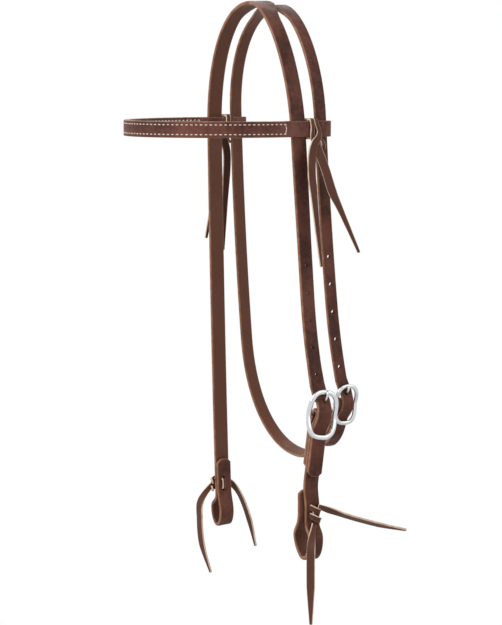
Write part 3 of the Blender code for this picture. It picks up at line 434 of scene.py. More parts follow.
@dataclass(frozen=True)
class Section:
    """Section of a cut strap: flat faces, rounded edges, and how its wear is marked."""

    thickness: float
    edge_round: float
    bow: float = 0.0
    corner_steps: int = 3
    face_edge: float = 0.20
    band: float = 0.0016
    round_share: float = 0.98
    reach_share: float = 0.6
    flat_share: float = 0.60
    end_share: float = 0.4

    def points(self, front: float, back: float) -> list[Shape]:
        """Outline of the section.

        Args:
            front: Reach to the front edge.
            back: Reach to the back edge.

        Returns:
            Across place, place through the thickness, edge mark and underside mark of each point.
        """
        half = self.thickness / 2
        rounding = min(self.edge_round, half * self.round_share,
                       min(front, back) * self.reach_share)
        outline = []
        for corner, (sa, sn) in enumerate(((1, 1), (-1, 1), (-1, -1), (1, -1))):
            reach = back if sa > 0 else front
            arc = []
            for step in range(self.corner_steps + 1):
                angle = pi / 2 * step / self.corner_steps
                across = sa * (reach - rounding + rounding * sin(angle))
                through = sn * (half - rounding + rounding * cos(angle))
                edge = self.face_edge + (1 - self.face_edge) * smooth_share(
                    step / self.corner_steps)
                arc.append((across, through, edge))
            flat = reach - rounding
            inner = (sa * max(flat * self.flat_share, flat - self.band), sn * half, 0.0)
            arc = [inner] + arc
            if corner in (0, 2):
                arc.reverse()
            under = 0.0 if sn > 0 else 1.0
            outline += [(a, t, edge, under) for a, t, edge in arc]
        whole, middle = (front + back) / 2, (back - front) / 2
        return [(across, through + self.bow * (1 - ((across - middle) / whole) ** 2), edge, under)
                for across, through, edge, under in outline]


def placed(name: str, mesh: Mesh) -> Thing:
    """Put a mesh into the scene as an object at the origin.

    Args:
        name: Name of the new object.
        mesh: Its mesh.

    Returns:
        The object.
    """
    thing = bpy.data.objects.new(name, mesh)
    bpy.context.scene.collection.objects.link(thing)
    return thing


def mesh_of(name: str, work: bmesh.types.BMesh) -> Mesh:
    """Turn a finished bmesh into a mesh.

    Args:
        name: Name of the new mesh.
        work: The bmesh, freed here.

    Returns:
        The mesh.
    """
    mesh = bpy.data.meshes.new(name)
    work.to_mesh(mesh)
    work.free()
    return mesh


def marked(thing: Thing) -> Thing:
    """Give a plain mesh the marks that a swept strap carries.

    Args:
        thing: Object with the mesh.

    Returns:
        The same object.
    """
    for name in ("edge", "under"):
        thing.data.attributes.new(name, "FLOAT", "POINT")
    return thing


class StrapMesh:
    """Closed mesh swept along the stations of one strap."""

    def __init__(self, section: Section) -> None:
        """Keep the section; the stations come with each sweep."""
        self.section = section

    @staticmethod
    def frames(stations: list[Station]) -> list[tuple[Vector, Vector, Vector]]:
        """Find the way, width direction and outward direction at each station.

        Args:
            stations: Cross lines in order.

        Returns:
            The three directions of each.
        """
        result = []
        for station, way in zip(stations, directions([item.point for item in stations])):
            across = (station.hint - way * station.hint.dot(way)).normalized()
            result.append((way, across, across.cross(way)))
        return result

    @staticmethod
    def ring(station: Station, frame: tuple[Vector, Vector, Vector],
             points: list[Shape]) -> list[tuple]:
        """Lay the points of a section on a station, each with its edge and underside marks."""
        place, (_, across, outward) = station.point, frame
        return [(place + across * a + outward * t, edge, under) for a, t, edge, under in points]

    def rings(self, stations: list[Station]) -> list[list[tuple]]:
        """Rings of section points, with both ends drawn in.

        Args:
            stations: Cross lines in order.

        Returns:
            The rings, two at each end.
        """
        frames = self.frames(stations)
        cut = self.section
        rings = [self.ring(station, frame, cut.points(station.front, station.back))
                 for station, frame in zip(stations, frames)]
        inset = min(cut.edge_round, cut.thickness * cut.end_share)
        slim = Section(cut.thickness - inset, cut.edge_round - inset / 3, cut.bow, cut.corner_steps)
        for index, direction in ((0, 1), (-1, -1)):
            station, frame = stations[index], frames[index]
            points = slim.points(station.front - inset / 2, station.back - inset / 2)
            end = [(place, 1.0, under) for place, _, under in self.ring(station, frame, points)]
            step = frame[0] * (direction * inset / 2)
            rings[index] = [(place + step, edge, under) for place, edge, under in rings[index]]
            rings.insert(0 if index == 0 else len(rings), end)
        return rings

    def sweep(self, name: str, stations: list[Station]) -> Thing:
        """Build the strap.

        Args:
            name: Name of the new object.
            stations: Cross lines in order.

        Returns:
            Object at the origin, with UVs along the strap and marks for edge and underside.
        """
        rings = self.rings(stations)
        count = len(rings[0])
        vertices = [place for ring in rings for place, _, _ in ring]
        faces = []
        for ring in range(len(rings) - 1):
            one = ring * count
            two = one + count
            for point in range(count):
                other = (point + 1) % count
                faces.append((one + point, one + other, two + other, two + point))
        faces.append(tuple(reversed(range(count))))
        faces.append(tuple(range((len(rings) - 1) * count, len(rings) * count)))
        mesh = bpy.data.meshes.new(name)
        mesh.from_pydata(vertices, [], faces)
        mesh.update()
        self.mark(mesh, rings, count)
        work = bmesh.new()
        work.from_mesh(mesh)
        bmesh.ops.recalc_face_normals(work, faces=work.faces)
        work.to_mesh(mesh)
        work.free()
        mesh.shade_smooth()
        mesh.set_sharp_from_angle(angle=SMOOTH_TURN)
        return placed(name, mesh)

    @staticmethod
    def mark(mesh: Mesh, rings: list[list[tuple]], count: int) -> None:
        """Store the edge and underside marks and the UVs of a swept mesh.

        Args:
            mesh: The swept mesh.
            rings: Its rings.
            count: Points of each ring.
        """
        edge = mesh.attributes.new("edge", "FLOAT", "POINT")
        under = mesh.attributes.new("under", "FLOAT", "POINT")
        flat = [item for ring in rings for item in ring]
        edge.data.foreach_set("value", [item[1] for item in flat])
        under.data.foreach_set("value", [item[2] for item in flat])
        run = [0.0]
        for one, two in zip(rings, rings[1:]):
            run.append(run[-1] + (two[0][0] - one[0][0]).length)
        side = [0.0]
        for one, two in zip(rings[0], rings[0][1:]):
            side.append(side[-1] + (two[0] - one[0]).length)
        layer = mesh.uv_layers.new(name="UVMap")
        for loop in mesh.loops:
            ring, point = divmod(loop.vertex_index, count)
            layer.data[loop.index].uv = (run[ring], side[point])


def settled(thing: Thing) -> Thing:
    """Replace an object's mesh by what its modifiers make of it.

    Args:
        thing: Object with modifiers.

    Returns:
        The same object, without them.
    """
    bpy.context.view_layer.update()
    graph = bpy.context.evaluated_depsgraph_get()
    made = bpy.data.meshes.new_from_object(thing.evaluated_get(graph))
    thing.modifiers.clear()
    made.name = thing.name
    thing.data = made
    return thing


def punch(thing: Thing, cutters: list[Thing]) -> Thing:
    """Cut every punch out of a strap, and remove the punches.

    Args:
        thing: The strap.
        cutters: The punches.

    Returns:
        The same strap.
    """
    for cutter in cutters:
        change = thing.modifiers.new("Punch", "BOOLEAN")
        change.operation = "DIFFERENCE"
        change.solver = "EXACT"
        change.use_self = True
        change.object = cutter
    settled(thing)
    for cutter in cutters:
        bpy.data.objects.remove(cutter, do_unlink=True)
    thing.data.set_sharp_from_angle(angle=PUNCHED_TURN)
    return thing


def punch_tool(name: str, centre: Vector, through: Vector, along: Vector, size: Triple) -> Thing:
    """Round or oval punch.

    Args:
        name: Name of the tool.
        centre: Middle of the hole.
        through: Direction of the hole.
        along: Direction of its long way.
        size: Length, width and depth.

    Returns:
        The punch as an object.
    """
    length, width, depth = size
    across = through.cross(along).normalized()
    long_way = through.cross(across).normalized()
    work = bmesh.new()
    bmesh.ops.create_cone(work, cap_ends=True, segments=FINE.punch_sides, radius1=width / 2,
                          radius2=width / 2, depth=depth)
    bmesh.ops.scale(work, vec=(1.0, length / width, 1.0), verts=work.verts)
    mesh = mesh_of(name, work)
    turn = Matrix((across, long_way, through.normalized())).transposed().to_4x4()
    mesh.transform(Matrix.Translation(centre) @ turn)
    return marked(placed(name, mesh))


def skinned(name: str, work: bmesh.types.BMesh, rings: list[list[bmesh.types.BMVert]],
            closed: bool) -> Thing:
    """Join neighbouring rings with faces, and cap or close the ends.

    Args:
        name: Name of the new object.
        work: The bmesh that holds the rings.
        rings: Rings of equal count.
        closed: Whether the last ring joins the first.

    Returns:
        The smooth shaded object.
    """
    sides = len(rings[0])
    for one, two in zip(rings, rings[1:] + (rings[:1] if closed else [])):
        for side in range(sides):
            other = (side + 1) % sides
            work.faces.new((one[side], one[other], two[other], two[side]))
    if not closed:
        work.faces.new(list(reversed(rings[0])))
        work.faces.new(rings[-1])
    bmesh.ops.recalc_face_normals(work, faces=work.faces)
    mesh = mesh_of(name, work)
    mesh.shade_smooth()
    return placed(name, mesh)


def wire(name: str, points: list[Vector], radii: list[float], reference: Vector) -> Thing:
    """Sweep a circle along points.

    Args:
        name: Name of the new object.
        points: Centre line.
        radii: Radius at each point.
        reference: Direction that is never along the centre line.

    Returns:
        The wire as an object.
    """
    work = bmesh.new()
    rings = []
    for point, radius, way in zip(points, radii, directions(points)):
        one = (reference - way * reference.dot(way)).normalized()
        two = way.cross(one)
        ring = []
        for side in range(FINE.wire_sides):
            angle = tau * side / FINE.wire_sides
            ring.append(work.verts.new(point + (one * cos(angle) + two * sin(angle)) * radius))
        rings.append(ring)
    return skinned(name, work, rings, False)


def joined(name: str, things: list[Thing]) -> Thing:
    """Gather several meshes at the origin into one object.

    Args:
        name: Name of the whole.
        things: The meshes.

    Returns:
        The whole.
    """
    bpy.ops.object.select_all(action="DESELECT")
    for thing in things:
        thing.select_set(True)
    bpy.context.view_layer.objects.active = things[0]
    bpy.ops.object.join()
    whole = bpy.context.view_layer.objects.active
    whole.name = name
    whole.data.name = name
    return whole


class NodeKit:
    """Short hand for building node trees."""

    def __init__(self, tree: NodeTree) -> None:
        """Keep the tree."""
        self.tree = tree

    def add(self, kind: str, inputs: dict[str | int, object] | None = None,
            **settings: object) -> Node:
        """Add a node, set its properties and fill its inputs.

        Args:
            kind: Kind of node.
            inputs: Socket or plain value for each input.
            settings: Properties of the node.

        Returns:
            The node.
        """
        node = self.tree.nodes.new(kind)
        for name, value in settings.items():
            setattr(node, name, value)
        self.fill(node, inputs or {})
        return node

    def fill(self, node: Node, inputs: dict[str | int, object]) -> None:
        """Link a node's inputs to sockets, or set them to plain values.

        Args:
            node: The node.
            inputs: Socket or plain value for each input.
        """
        for name, value in inputs.items():
            if isinstance(value, Socket):
                self.tree.links.new(value, node.inputs[name])
            else:
                node.inputs[name].default_value = value

    def noise(self, vector: Socket, scale: float, detail: float = 4.0,
              roughness: float = 0.55) -> Socket:
        """Noise factor at a scale per metre."""
        grain = {"Scale": scale, "Detail": detail, "Roughness": roughness}
        return self.add("ShaderNodeTexNoise", {"Vector": vector, **grain}).outputs["Fac"]

    def ramp(self, value: Socket, low: float, high: float, to_low: float, to_high: float) -> Socket:
        """Map a value from one range to another, held at its ends."""
        ends = {"From Min": low, "From Max": high, "To Min": to_low, "To Max": to_high}
        return self.add("ShaderNodeMapRange", {"Value": value, **ends}).outputs["Result"]

    def mix(self, factor: Socket, one: object, two: object) -> Socket:
        """Blend two colours.

        Args:
            factor: Share of the second.
            one: First colour or its socket.
            two: Second colour or its socket.

        Returns:
            The blended colour.
        """
        node = self.add("ShaderNodeMix", {"Factor": factor}, data_type="RGBA")
        places = [index for index, item in enumerate(node.inputs) if item.type == "RGBA"]
        self.fill(node, dict(zip(places, (one, two))))
        return [item for item in node.outputs if item.type == "RGBA"][0]

    def math(self, operation: str, one: Socket, two: object) -> Socket:
        """Combine two values and hold the result between 0 and 1."""
        return self.add("ShaderNodeMath", {0: one, 1: two}, operation=operation,
                        use_clamp=True).outputs[0]

    def bump(self, strength: object, distance: float, height: Socket) -> Socket:
        """Turn a height into a bent normal."""
        step = {"Strength": strength, "Distance": distance, "Height": height}
        return self.add("ShaderNodeBump", step).outputs["Normal"]

    def mark(self, name: str) -> Socket:
        """Value of a mesh attribute."""
        return self.add("ShaderNodeAttribute", attribute_name=name).outputs["Fac"]


def group_kit(name: str, kind: str, inputs: dict[str, str],
              outputs: dict[str, str]) -> tuple[NodeKit, dict[str, Socket]]:
    """Start a node group with named inputs and outputs.

    Args:
        name: Name of the group.
        kind: Kind of tree.
        inputs: Sort of each input.
        outputs: Sort of each output.
    """
    tree = bpy.data.node_groups.new(name, kind)
    for way, sockets in (("INPUT", inputs), ("OUTPUT", outputs)):
        for label, sort in sockets.items():
            tree.interface.new_socket(label, in_out=way, socket_type="NodeSocket" + sort)
    kit = NodeKit(tree)
    start = kit.add("NodeGroupInput")
    return kit, {label: start.outputs[label] for label in inputs}


def new_material(name: str) -> tuple[Material, NodeKit, Node, Socket]:
    """Start a material.

    Args:
        name: Its name.
    """
    material = bpy.data.materials.new(name)
    material.use_nodes = True
    kit = NodeKit(material.node_tree)
    place = kit.add("ShaderNodeTexCoord").outputs["Object"]
    return material, kit, kit.tree.nodes["Principled BSDF"], place


class SharedGroups:
    """Node groups that several finishes use."""

    def __init__(self) -> None:
        """Build the groups once."""
        self.grain = self._grain()
        self.tone = self._tone()

    @staticmethod
    def _grain() -> NodeTree:
        """Pebbled grain and fine scuffs as one bump.

        Returns:
            The group.
        """
        kit, given = group_kit("leather_grain", "ShaderNodeTree",
                               {"Vector": "Vector", "Cells": "Float", "Depth": "Float"},
                               {"Normal": "Vector"})
        cells = kit.add("ShaderNodeTexVoronoi", {"Vector": given["Vector"],
                                                 "Scale": given["Cells"]}, feature="SMOOTH_F1")
        scuff = kit.noise(given["Vector"], 420.0, 6.0, 0.7)
        height = kit.math("ADD", kit.math("MULTIPLY", cells.outputs["Distance"], 0.55),
                          kit.math("MULTIPLY", scuff, 0.6))
        kit.add("NodeGroupOutput", {"Normal": kit.bump(given["Depth"], 0.00025, height)})
        return kit.tree

    @staticmethod
    def _tone() -> NodeTree:
        """Slow and quick unevenness of the dye as one factor.

        Returns:
            The group.
        """
        kit, given = group_kit("dye_tone", "ShaderNodeTree", {"Vector": "Vector"},
                               {"Factor": "Float"})
        slow = kit.noise(given["Vector"], 26.0, 3.0)
        quick = kit.noise(given["Vector"], 240.0, 5.0, 0.65)
        both = kit.math("ADD", kit.math("MULTIPLY", slow, 0.65), kit.math("MULTIPLY", quick, 0.35))
        kit.add("NodeGroupOutput", {"Factor": kit.ramp(both, 0.40, 0.60, 0.0, 1.0)})
        return kit.tree


@dataclass(frozen=True)
class LeatherFinish:
    """Dyed leather: grain face, flesh side, dressed edge and how they wear."""

    name: str
    dark: Color
    light: Color
    flesh: Color
    edge: Color
    edge_light: Color
    roughness: Pair = (0.46, 0.66)
    cells: float = 1500.0
    depth: float = 0.5
    shine: float = 0.26

    def build(self, groups: SharedGroups) -> Material:
        """Make the material.

        Args:
            groups: Shared node groups.

        Returns:
            The material.
        """
        material, kit, shader, place = new_material(self.name)
        tone = kit.add("ShaderNodeGroup", {"Vector": place},
                       node_tree=groups.tone).outputs["Factor"]
        grain = kit.add("ShaderNodeGroup", {"Vector": place, "Cells": self.cells,
                                            "Depth": self.depth}, node_tree=groups.grain)
        face = kit.mix(tone, self.dark, self.light)
        fibres = kit.noise(place, 900.0, 3.0, 0.7)
        flesh = kit.mix(kit.ramp(fibres, 0.3, 0.7, 0.0, 0.5), self.flesh, self.light)
        body = kit.mix(kit.mark("under"), face, flesh)
        streak = kit.noise(place, 130.0, 4.0, 0.6)
        wall = kit.mix(kit.ramp(streak, 0.35, 0.7, 0.0, 1.0), self.edge, self.edge_light)
        worn = kit.math("ADD", kit.mark("edge"), kit.ramp(streak, 0.5, 0.8, 0.0, 0.12))
        shown = kit.ramp(kit.math("MULTIPLY", worn, kit.mark("edge")), 0.03, 0.55, 0.0, 1.0)
        low, high = self.roughness
        rough = kit.ramp(tone, 0.0, 1.0, high, low)
        burnished = kit.ramp(kit.mark("edge"), 0.1, 0.8, 1.0, 0.62)
        kit.fill(shader, {"Base Color": kit.mix(shown, body, wall),
                          "Roughness": kit.math("MULTIPLY", rough, burnished),
                          "Normal": grain.outputs["Normal"], "Specular IOR Level": self.shine})
        return material


@dataclass(frozen=True)
class NickelFinish:
    """Bright nickel plate with fine handling marks."""

    name: str
    plate: Color
    roughness: Pair
    dulling: float = 0.86

    def build(self) -> Material:
        """Make the material.

        Returns:
            The material.
        """
        material, kit, shader, place = new_material(self.name)
        cloud = kit.noise(place, 180.0, 5.0, 0.6)
        dull = tuple(channel * self.dulling for channel in self.plate[:3]) + (1.0,)
        low, high = self.roughness
        kit.fill(shader, {"Metallic": 1.0,
            "Base Color": kit.mix(kit.ramp(cloud, 0.35, 0.75, 0.0, 1.0), self.plate, dull),
            "Roughness": kit.ramp(cloud, 0.3, 0.7, low, high),
            "Normal": kit.bump(0.12, 0.0002, kit.noise(place, 260.0, 4.0, 0.5))})
        return material


@dataclass(frozen=True)
class ThreadFinish:
    """Waxed cream thread."""

    name: str
    light: Color
    dark: Color

    def build(self) -> Material:
        """Make the material.

        Returns:
            The material.
        """
        material, kit, shader, place = new_material(self.name)
        twist = kit.noise(place, 700.0, 3.0, 0.6)
        kit.fill(shader, {
            "Base Color": kit.mix(kit.ramp(twist, 0.35, 0.65, 0.0, 1.0), self.dark, self.light),
            "Roughness": 0.6, "Normal": kit.bump(0.5, 0.0001, twist)})
        return material


FLESH_SIDE: Color = (0.120, 0.046, 0.025, 1.0)
BURNISHED_EDGE: Color = (0.210, 0.082, 0.040, 1.0)
WORN_EDGE: Color = (0.360, 0.180, 0.105, 1.0)


@dataclass
class Finishes:
    """All finishes of the headstall, built once."""

    groups: SharedGroups = field(default_factory=SharedGroups)

    def __post_init__(self) -> None:
        """Build the materials."""
        self.bridle = LeatherFinish(
            "oiled_bridle_leather", (0.048, 0.0136, 0.0084, 1.0), (0.132, 0.0375, 0.0200, 1.0),
            FLESH_SIDE, BURNISHED_EDGE, WORN_EDGE).build(self.groups)
        self.band = LeatherFinish(
            "oiled_band_leather", (0.068, 0.0225, 0.0155, 1.0), (0.176, 0.0620, 0.0410, 1.0),
            FLESH_SIDE, BURNISHED_EDGE, WORN_EDGE).build(self.groups)
        self.lining = LeatherFinish(
            "lining_leather", (0.085, 0.030, 0.018, 1.0), (0.140, 0.054, 0.033, 1.0),
            (0.120, 0.050, 0.030, 1.0), (0.200, 0.080, 0.038, 1.0),
            (0.330, 0.160, 0.085, 1.0)).build(self.groups)
        self.lace = LeatherFinish(
            "latigo_lace", (0.052, 0.016, 0.011, 1.0), (0.098, 0.032, 0.020, 1.0),
            (0.105, 0.040, 0.024, 1.0), (0.680, 0.450, 0.310, 1.0),
            (0.920, 0.740, 0.600, 1.0), (0.50, 0.70), 1700.0, 0.45).build(self.groups)
        self.nickel = NickelFinish("nickel_plate", (0.66, 0.67, 0.68, 1.0), (0.16, 0.26)).build()
        self.thread = ThreadFinish(
            "waxed_thread", (0.86, 0.74, 0.62, 1.0), (0.62, 0.47, 0.36, 1.0)).build()


def dress(piece: Thing, finish: Material, body: Body, slot: Slot, nodes: tuple[str, ...]) -> None:
    """Give a finished piece its material and its place in the frame.

    Args:
        piece: The finished piece.
        finish: Its material.
        body: The body it rides on.
        slot: The record's slot for the piece; not used.
        nodes: The nodes it stands for.
    """
    piece.data.materials.clear()
    piece.data.materials.append(finish)
    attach(piece, body.value)
    if nodes:
        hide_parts(*nodes)
    LOG.info("%s: %d faces", piece.name, len(piece.data.polygons))


@dataclass(frozen=True)
class StitchLine:
    """Sewn row made by geometry nodes along a way on a leather's face."""

    pitch: float
    length: float
    radius: float
    seed: int = 7
    shortest: float = 0.86
    longest: float = 1.08

    def tree(self) -> NodeTree:
        """Build the node tree that lays one stitch per pitch, turned to the way and the face.

        Returns:
            The tree.
        """
        kit, given = group_kit("stitch_row", "GeometryNodeTree",
            {"Geometry": "Geometry", "Pitch": "Float", "Length": "Float", "Radius": "Float",
             "Seed": "Int", "Thread": "Material"}, {"Geometry": "Geometry"})
        curve = kit.add("GeometryNodeMeshToCurve", {"Mesh": given["Geometry"]})
        even = kit.add("GeometryNodeResampleCurve", {"Curve": curve.outputs["Curve"],
                                                     "Length": given["Pitch"]}, mode="LENGTH")
        bead = kit.add("GeometryNodeMeshUVSphere", {"Segments": 8, "Rings": 6, "Radius": 1.0})
        tangent = kit.add("GeometryNodeInputTangent")
        along = kit.add("FunctionNodeAlignRotationToVector",
                        {"Vector": tangent.outputs["Tangent"]}, axis="X")
        outward = kit.add("GeometryNodeInputNamedAttribute", {"Name": "outward"},
                          data_type="FLOAT_VECTOR")
        flat = kit.add("FunctionNodeAlignRotationToVector", {"Rotation": along.outputs["Rotation"],
                        "Vector": outward.outputs["Attribute"]}, axis="Z", pivot_axis="X")
        wobble = kit.add("FunctionNodeRandomValue", {"Min": self.shortest, "Max": self.longest,
                                                     "Seed": given["Seed"]}, data_type="FLOAT")
        value = [item for item in wobble.outputs if item.type == "VALUE" and item.enabled][0]
        half = kit.add("ShaderNodeMath", {0: given["Length"], 1: 0.5}, operation="MULTIPLY")
        varied = kit.add("ShaderNodeMath", {0: half.outputs[0], 1: value}, operation="MULTIPLY")
        size = kit.add("ShaderNodeCombineXYZ", {"X": varied.outputs[0], "Y": given["Radius"],
                                                "Z": given["Radius"]})
        laid = kit.add("GeometryNodeInstanceOnPoints", {
            "Points": even.outputs["Curve"], "Instance": bead.outputs["Mesh"],
            "Rotation": flat.outputs["Rotation"], "Scale": size.outputs["Vector"]})
        real = kit.add("GeometryNodeRealizeInstances", {"Geometry": laid.outputs["Instances"]})
        paint = kit.add("GeometryNodeSetMaterial", {"Geometry": real.outputs["Geometry"],
                                                    "Material": given["Thread"]})
        kit.add("NodeGroupOutput", {"Geometry": paint.outputs["Geometry"]})
        return kit.tree

    def sew(self, name: str, ways: list[tuple[list[Vector], list[Vector]]],
            thread: Material) -> Thing:
        """Sew rows along ways.

        Args:
            name: Name of the new object.
            ways: Points of each row and the outward direction at each point.
            thread: Thread material.

        Returns:
            The stitches as one plain mesh.
        """
        points: list[Vector] = []
        edges: list[tuple[int, int]] = []
        outs: list[float] = []
        for way, directions in ways:
            first = len(points)
            points += way
            edges += [(first + i, first + i + 1) for i in range(len(way) - 1)]
            for direction in directions:
                outs += list(direction)
        mesh = bpy.data.meshes.new(name)
        mesh.from_pydata(points, edges, [])
        mesh.attributes.new("outward", "FLOAT_VECTOR", "POINT").data.foreach_set("vector", outs)
        row = placed(name, mesh)
        tree = self.tree()
        modifier = row.modifiers.new("Stitches", "NODES")
        modifier.node_group = tree
        values = {"Pitch": self.pitch, "Length": self.length, "Radius": self.radius,
                  "Seed": self.seed, "Thread": thread}
        for item in tree.interface.items_tree:
            if item.item_type == "SOCKET" and item.in_out == "INPUT" and item.name in values:
                modifier[item.identifier] = values[item.name]
        settled(row)
        row.data.shade_smooth()
        return row


STRAP_SECTION = Section(LEATHER.thickness, 0.0014)


@dataclass
class Crown:
    """Split crown: both near billets, the off cheek with its bit loop, and the throatlatch."""

    cheek: Arch
    throat: Arch
    cheek_buckle: Buckle
    throat_buckle: Buckle
    slit_turn: float = 11.0
    slit_open_turn: float = 30.0
    slit_spread: float = 0.0047
    poll_crease: float = 0.0015
    web_lap: float = 0.0024
    web_thinning: float = 0.0002
    web_round: float = 0.0003
    hole_radius: float = 0.0020
    cheek_hole_share: float = 0.86
    hole_pitch: float = 0.0274
    spare_holes: int = 5
    worn_hole: Pair = (0.0052, 0.0033)
    off_neck_drop: float = 0.5130
    off_loop: Shape = (0.0170, 0.0160, 0.0100, 0.0040)
    off_turn_back: float = 0.0385
    throat_off_drop: float = 0.3440
    throat_off_reach: Triple = (-0.0011, 0.0064, -0.0680)
    throat_low: Triple = (-0.0150, 0.0510, -0.4529)
    throat_low_slope: Triple = (1.0, -0.12, 0.0)
    throat_low_reaches: Pair = (0.0590, 0.0470)
    throat_end_reach: float = 0.0160
    throat_straight: float = 0.0060
    throat_twist: float = 22.0

    def billet(self, buckle: Buckle) -> list[Station]:
        """Near end of a crown strap: clipped tail, rest on the turned strap, swell over the bar.

        Args:
            buckle: The buckle it threads.

        Returns:
            Its stations.
        """
        clip = buckle.strap_width * LEATHER.clip_share
        ups = spread(-buckle.tail, -buckle.tail + clip, clip / 3)
        ups += spread(-buckle.tail + clip, -buckle.swell_span, buckle.step)[1:]
        ups += spread(-buckle.swell_span, buckle.swell_span,
                      buckle.swell_span / FINE.swell_steps)[1:]
        ups.append(buckle.height / 2 + buckle.blend_start)
        stations = []
        for up in ups:
            place, out = buckle.layer(up, LEATHER.stack)
            half = buckle.strap_width / 2 - max(0.0, clip - (up + buckle.tail))
            point = buckle.place(place, buckle.billet_shift(up), out)
            stations.append(Station(point, buckle.seat.across, half, half))
        return stations

    @staticmethod
    def blended(arch: Arch, buckle: Buckle, up: float) -> Vector:
        """Centre of a billet above its buckle, where it eases into the arch's own line.

        Args:
            arch: Way of the strap above.
            buckle: The buckle below.
            up: Height from the bar.

        Returns:
            The centre.
        """
        first = buckle.height / 2 + buckle.blend_start
        rest = buckle.strap_rest + LEATHER.stack
        if up <= first:
            return buckle.place(up, buckle.billet_shift(up), rest)
        if up >= buckle.blend:
            return arch.at_height(buckle.place(up, 0.0, rest).z, 1)
        start = buckle.place(first, buckle.billet_shift(first), rest)
        goal = arch.at_height(buckle.place(buckle.blend, 0.0, rest).z, 1)
        half_rise = (goal.z - start.z) / 2
        corner = goal * 2 - arch.at_height(goal.z + half_rise, 1)
        share = (up - first) / (buckle.blend - first)
        return start.lerp(corner, share).lerp(corner.lerp(goal, share), share)

    @staticmethod
    def turned(buckle: Buckle, height: float) -> Vector:
        """Width direction of a billet, which turns its front edge out between band and buckle.

        Args:
            buckle: The buckle below.
            height: World height.

        Returns:
            The width direction.
        """
        foot = buckle.seat.place(buckle.height / 2, 0.0, 0.0).z
        share = (smooth_share((height - foot) / buckle.twist_foot_span)
                 * smooth_share((buckle.twist_top - height) / buckle.twist_top_span))
        turn = radians(buckle.twist) * share
        return Vector((-sin(turn), cos(turn), 0.0))

    def leg(self, arch: Arch, buckle: Buckle) -> list[Station]:
        """Stretch of a leg from its buckle up to the foot of the arch.

        Args:
            arch: Way of the strap above.
            buckle: The buckle below.

        Returns:
            Its stations.
        """
        stations = []
        for up in spread(buckle.height / 2 + buckle.blend_start, buckle.blend, FINE.eased)[1:]:
            point = self.blended(arch, buckle, up)
            stations.append(even_station(point, self.turned(buckle, point.z), buckle.strap_width))
        high = stations[-1].point.z
        for height in spread(high, arch.top - arch.rise, FINE.straight)[1:-1]:
            stations.append(even_station(arch.at_height(height, 1), self.turned(buckle, height),
                                         buckle.strap_width))
        return stations

    def poll(self, arch: Arch, width: float, front: float, back: float) -> list[Station]:
        """Arch from the near side over the poll to the off side.

        Args:
            arch: Way of the strap.
            width: Width of the strap.
            front: What the slit adds to its front edge.
            back: What the slit adds to its back edge.

        Returns:
            Its stations.
        """
        stations = []
        for turn in spread(90.0, -90.0, FINE.arch_step):
            share = smooth_share((self.slit_open_turn - abs(turn))
                                 / (self.slit_open_turn - self.slit_turn))
            stations.append(Station(arch.over_poll(turn), BACKWARD, width / 2 + front * share,
                                    width / 2 + back * share))
        return stations

    def off_seat(self) -> Seat:
        """Seat of the off bit loop, on the off leg where it starts to bow.

        Returns:
            The seat.
        """
        height = self.cheek.top - self.off_neck_drop
        point = self.cheek.at_height(height, -1)
        up = (self.cheek.at_height(height + LACE_PITCH, -1) - point).normalized()
        return Seat(point, up, -(BACKWARD - up * up.y).normalized())

    def cheek_stations(self) -> list[Station]:
        """Whole front strap, near billet to the end of the off loop.

        Returns:
            Its stations.
        """
        width = LEATHER.cheek_width
        stations = self.billet(self.cheek_buckle) + self.leg(self.cheek, self.cheek_buckle)
        stations += self.poll(self.cheek, width, 0.0, self.slit_spread)
        seat = self.off_seat()
        for height in spread(self.cheek.top - self.cheek.rise, seat.origin.z,
                             FINE.straight)[1:-1]:
            stations.append(even_station(self.cheek.at_height(height, -1), BACKWARD, width))
        return stations + BitLoop(seat, self.off_loop, self.off_turn_back).stations()

    def throatlatch(self) -> list[Station]:
        """Throatlatch from the off leg to the bend below the near buckle.

        Returns:
            Its stations.
        """
        buckle = self.throat_buckle
        start = self.throat.at_height(-self.throat_off_drop, -1)
        slope = Vector(self.throat_low_slope).normalized()
        last_up = -buckle.tail - self.throat_straight
        end = buckle.place(last_up, 0.0, buckle.strap_rest)
        low = Vector(self.throat_low)
        before, after = self.throat_low_reaches
        points = bezier((start, start + Vector(self.throat_off_reach), low - slope * before,
                         low), FINE.throat_steps)
        points += bezier((low, low + slope * after,
                          end + buckle.way_down(last_up) * self.throat_end_reach,
                          end), FINE.throat_steps)[1:]
        stations = []
        for index, point in enumerate(points):
            share = sin(pi * index / (len(points) - 1))
            turn = radians(self.throat_twist) * smooth_share(share)
            hint = Vector((0.0, cos(turn), sin(turn)))
            stations.append(even_station(point, hint, LEATHER.throat_width))
        return stations

    def throat_stations(self) -> list[Station]:
        """Whole back strap, near billet over the poll and under the jaw to its own buckle.

        Returns:
            Its stations.
        """
        buckle = self.throat_buckle
        stations = self.billet(buckle) + self.leg(self.throat, buckle)
        stations += self.poll(self.throat, LEATHER.throat_width, self.slit_spread, 0.0)
        for height in spread(self.throat.top - self.throat.rise, -self.throat_off_drop,
                             FINE.straight)[1:-1]:
            stations.append(even_station(self.throat.at_height(height, -1), BACKWARD,
                                         LEATHER.throat_width))
        stations += self.throatlatch()
        ways_up = spread(-buckle.tail - self.throat_straight, -buckle.swell_span, FINE.bent)[1:-1]
        return stations + turned_strap(buckle, ways_up)

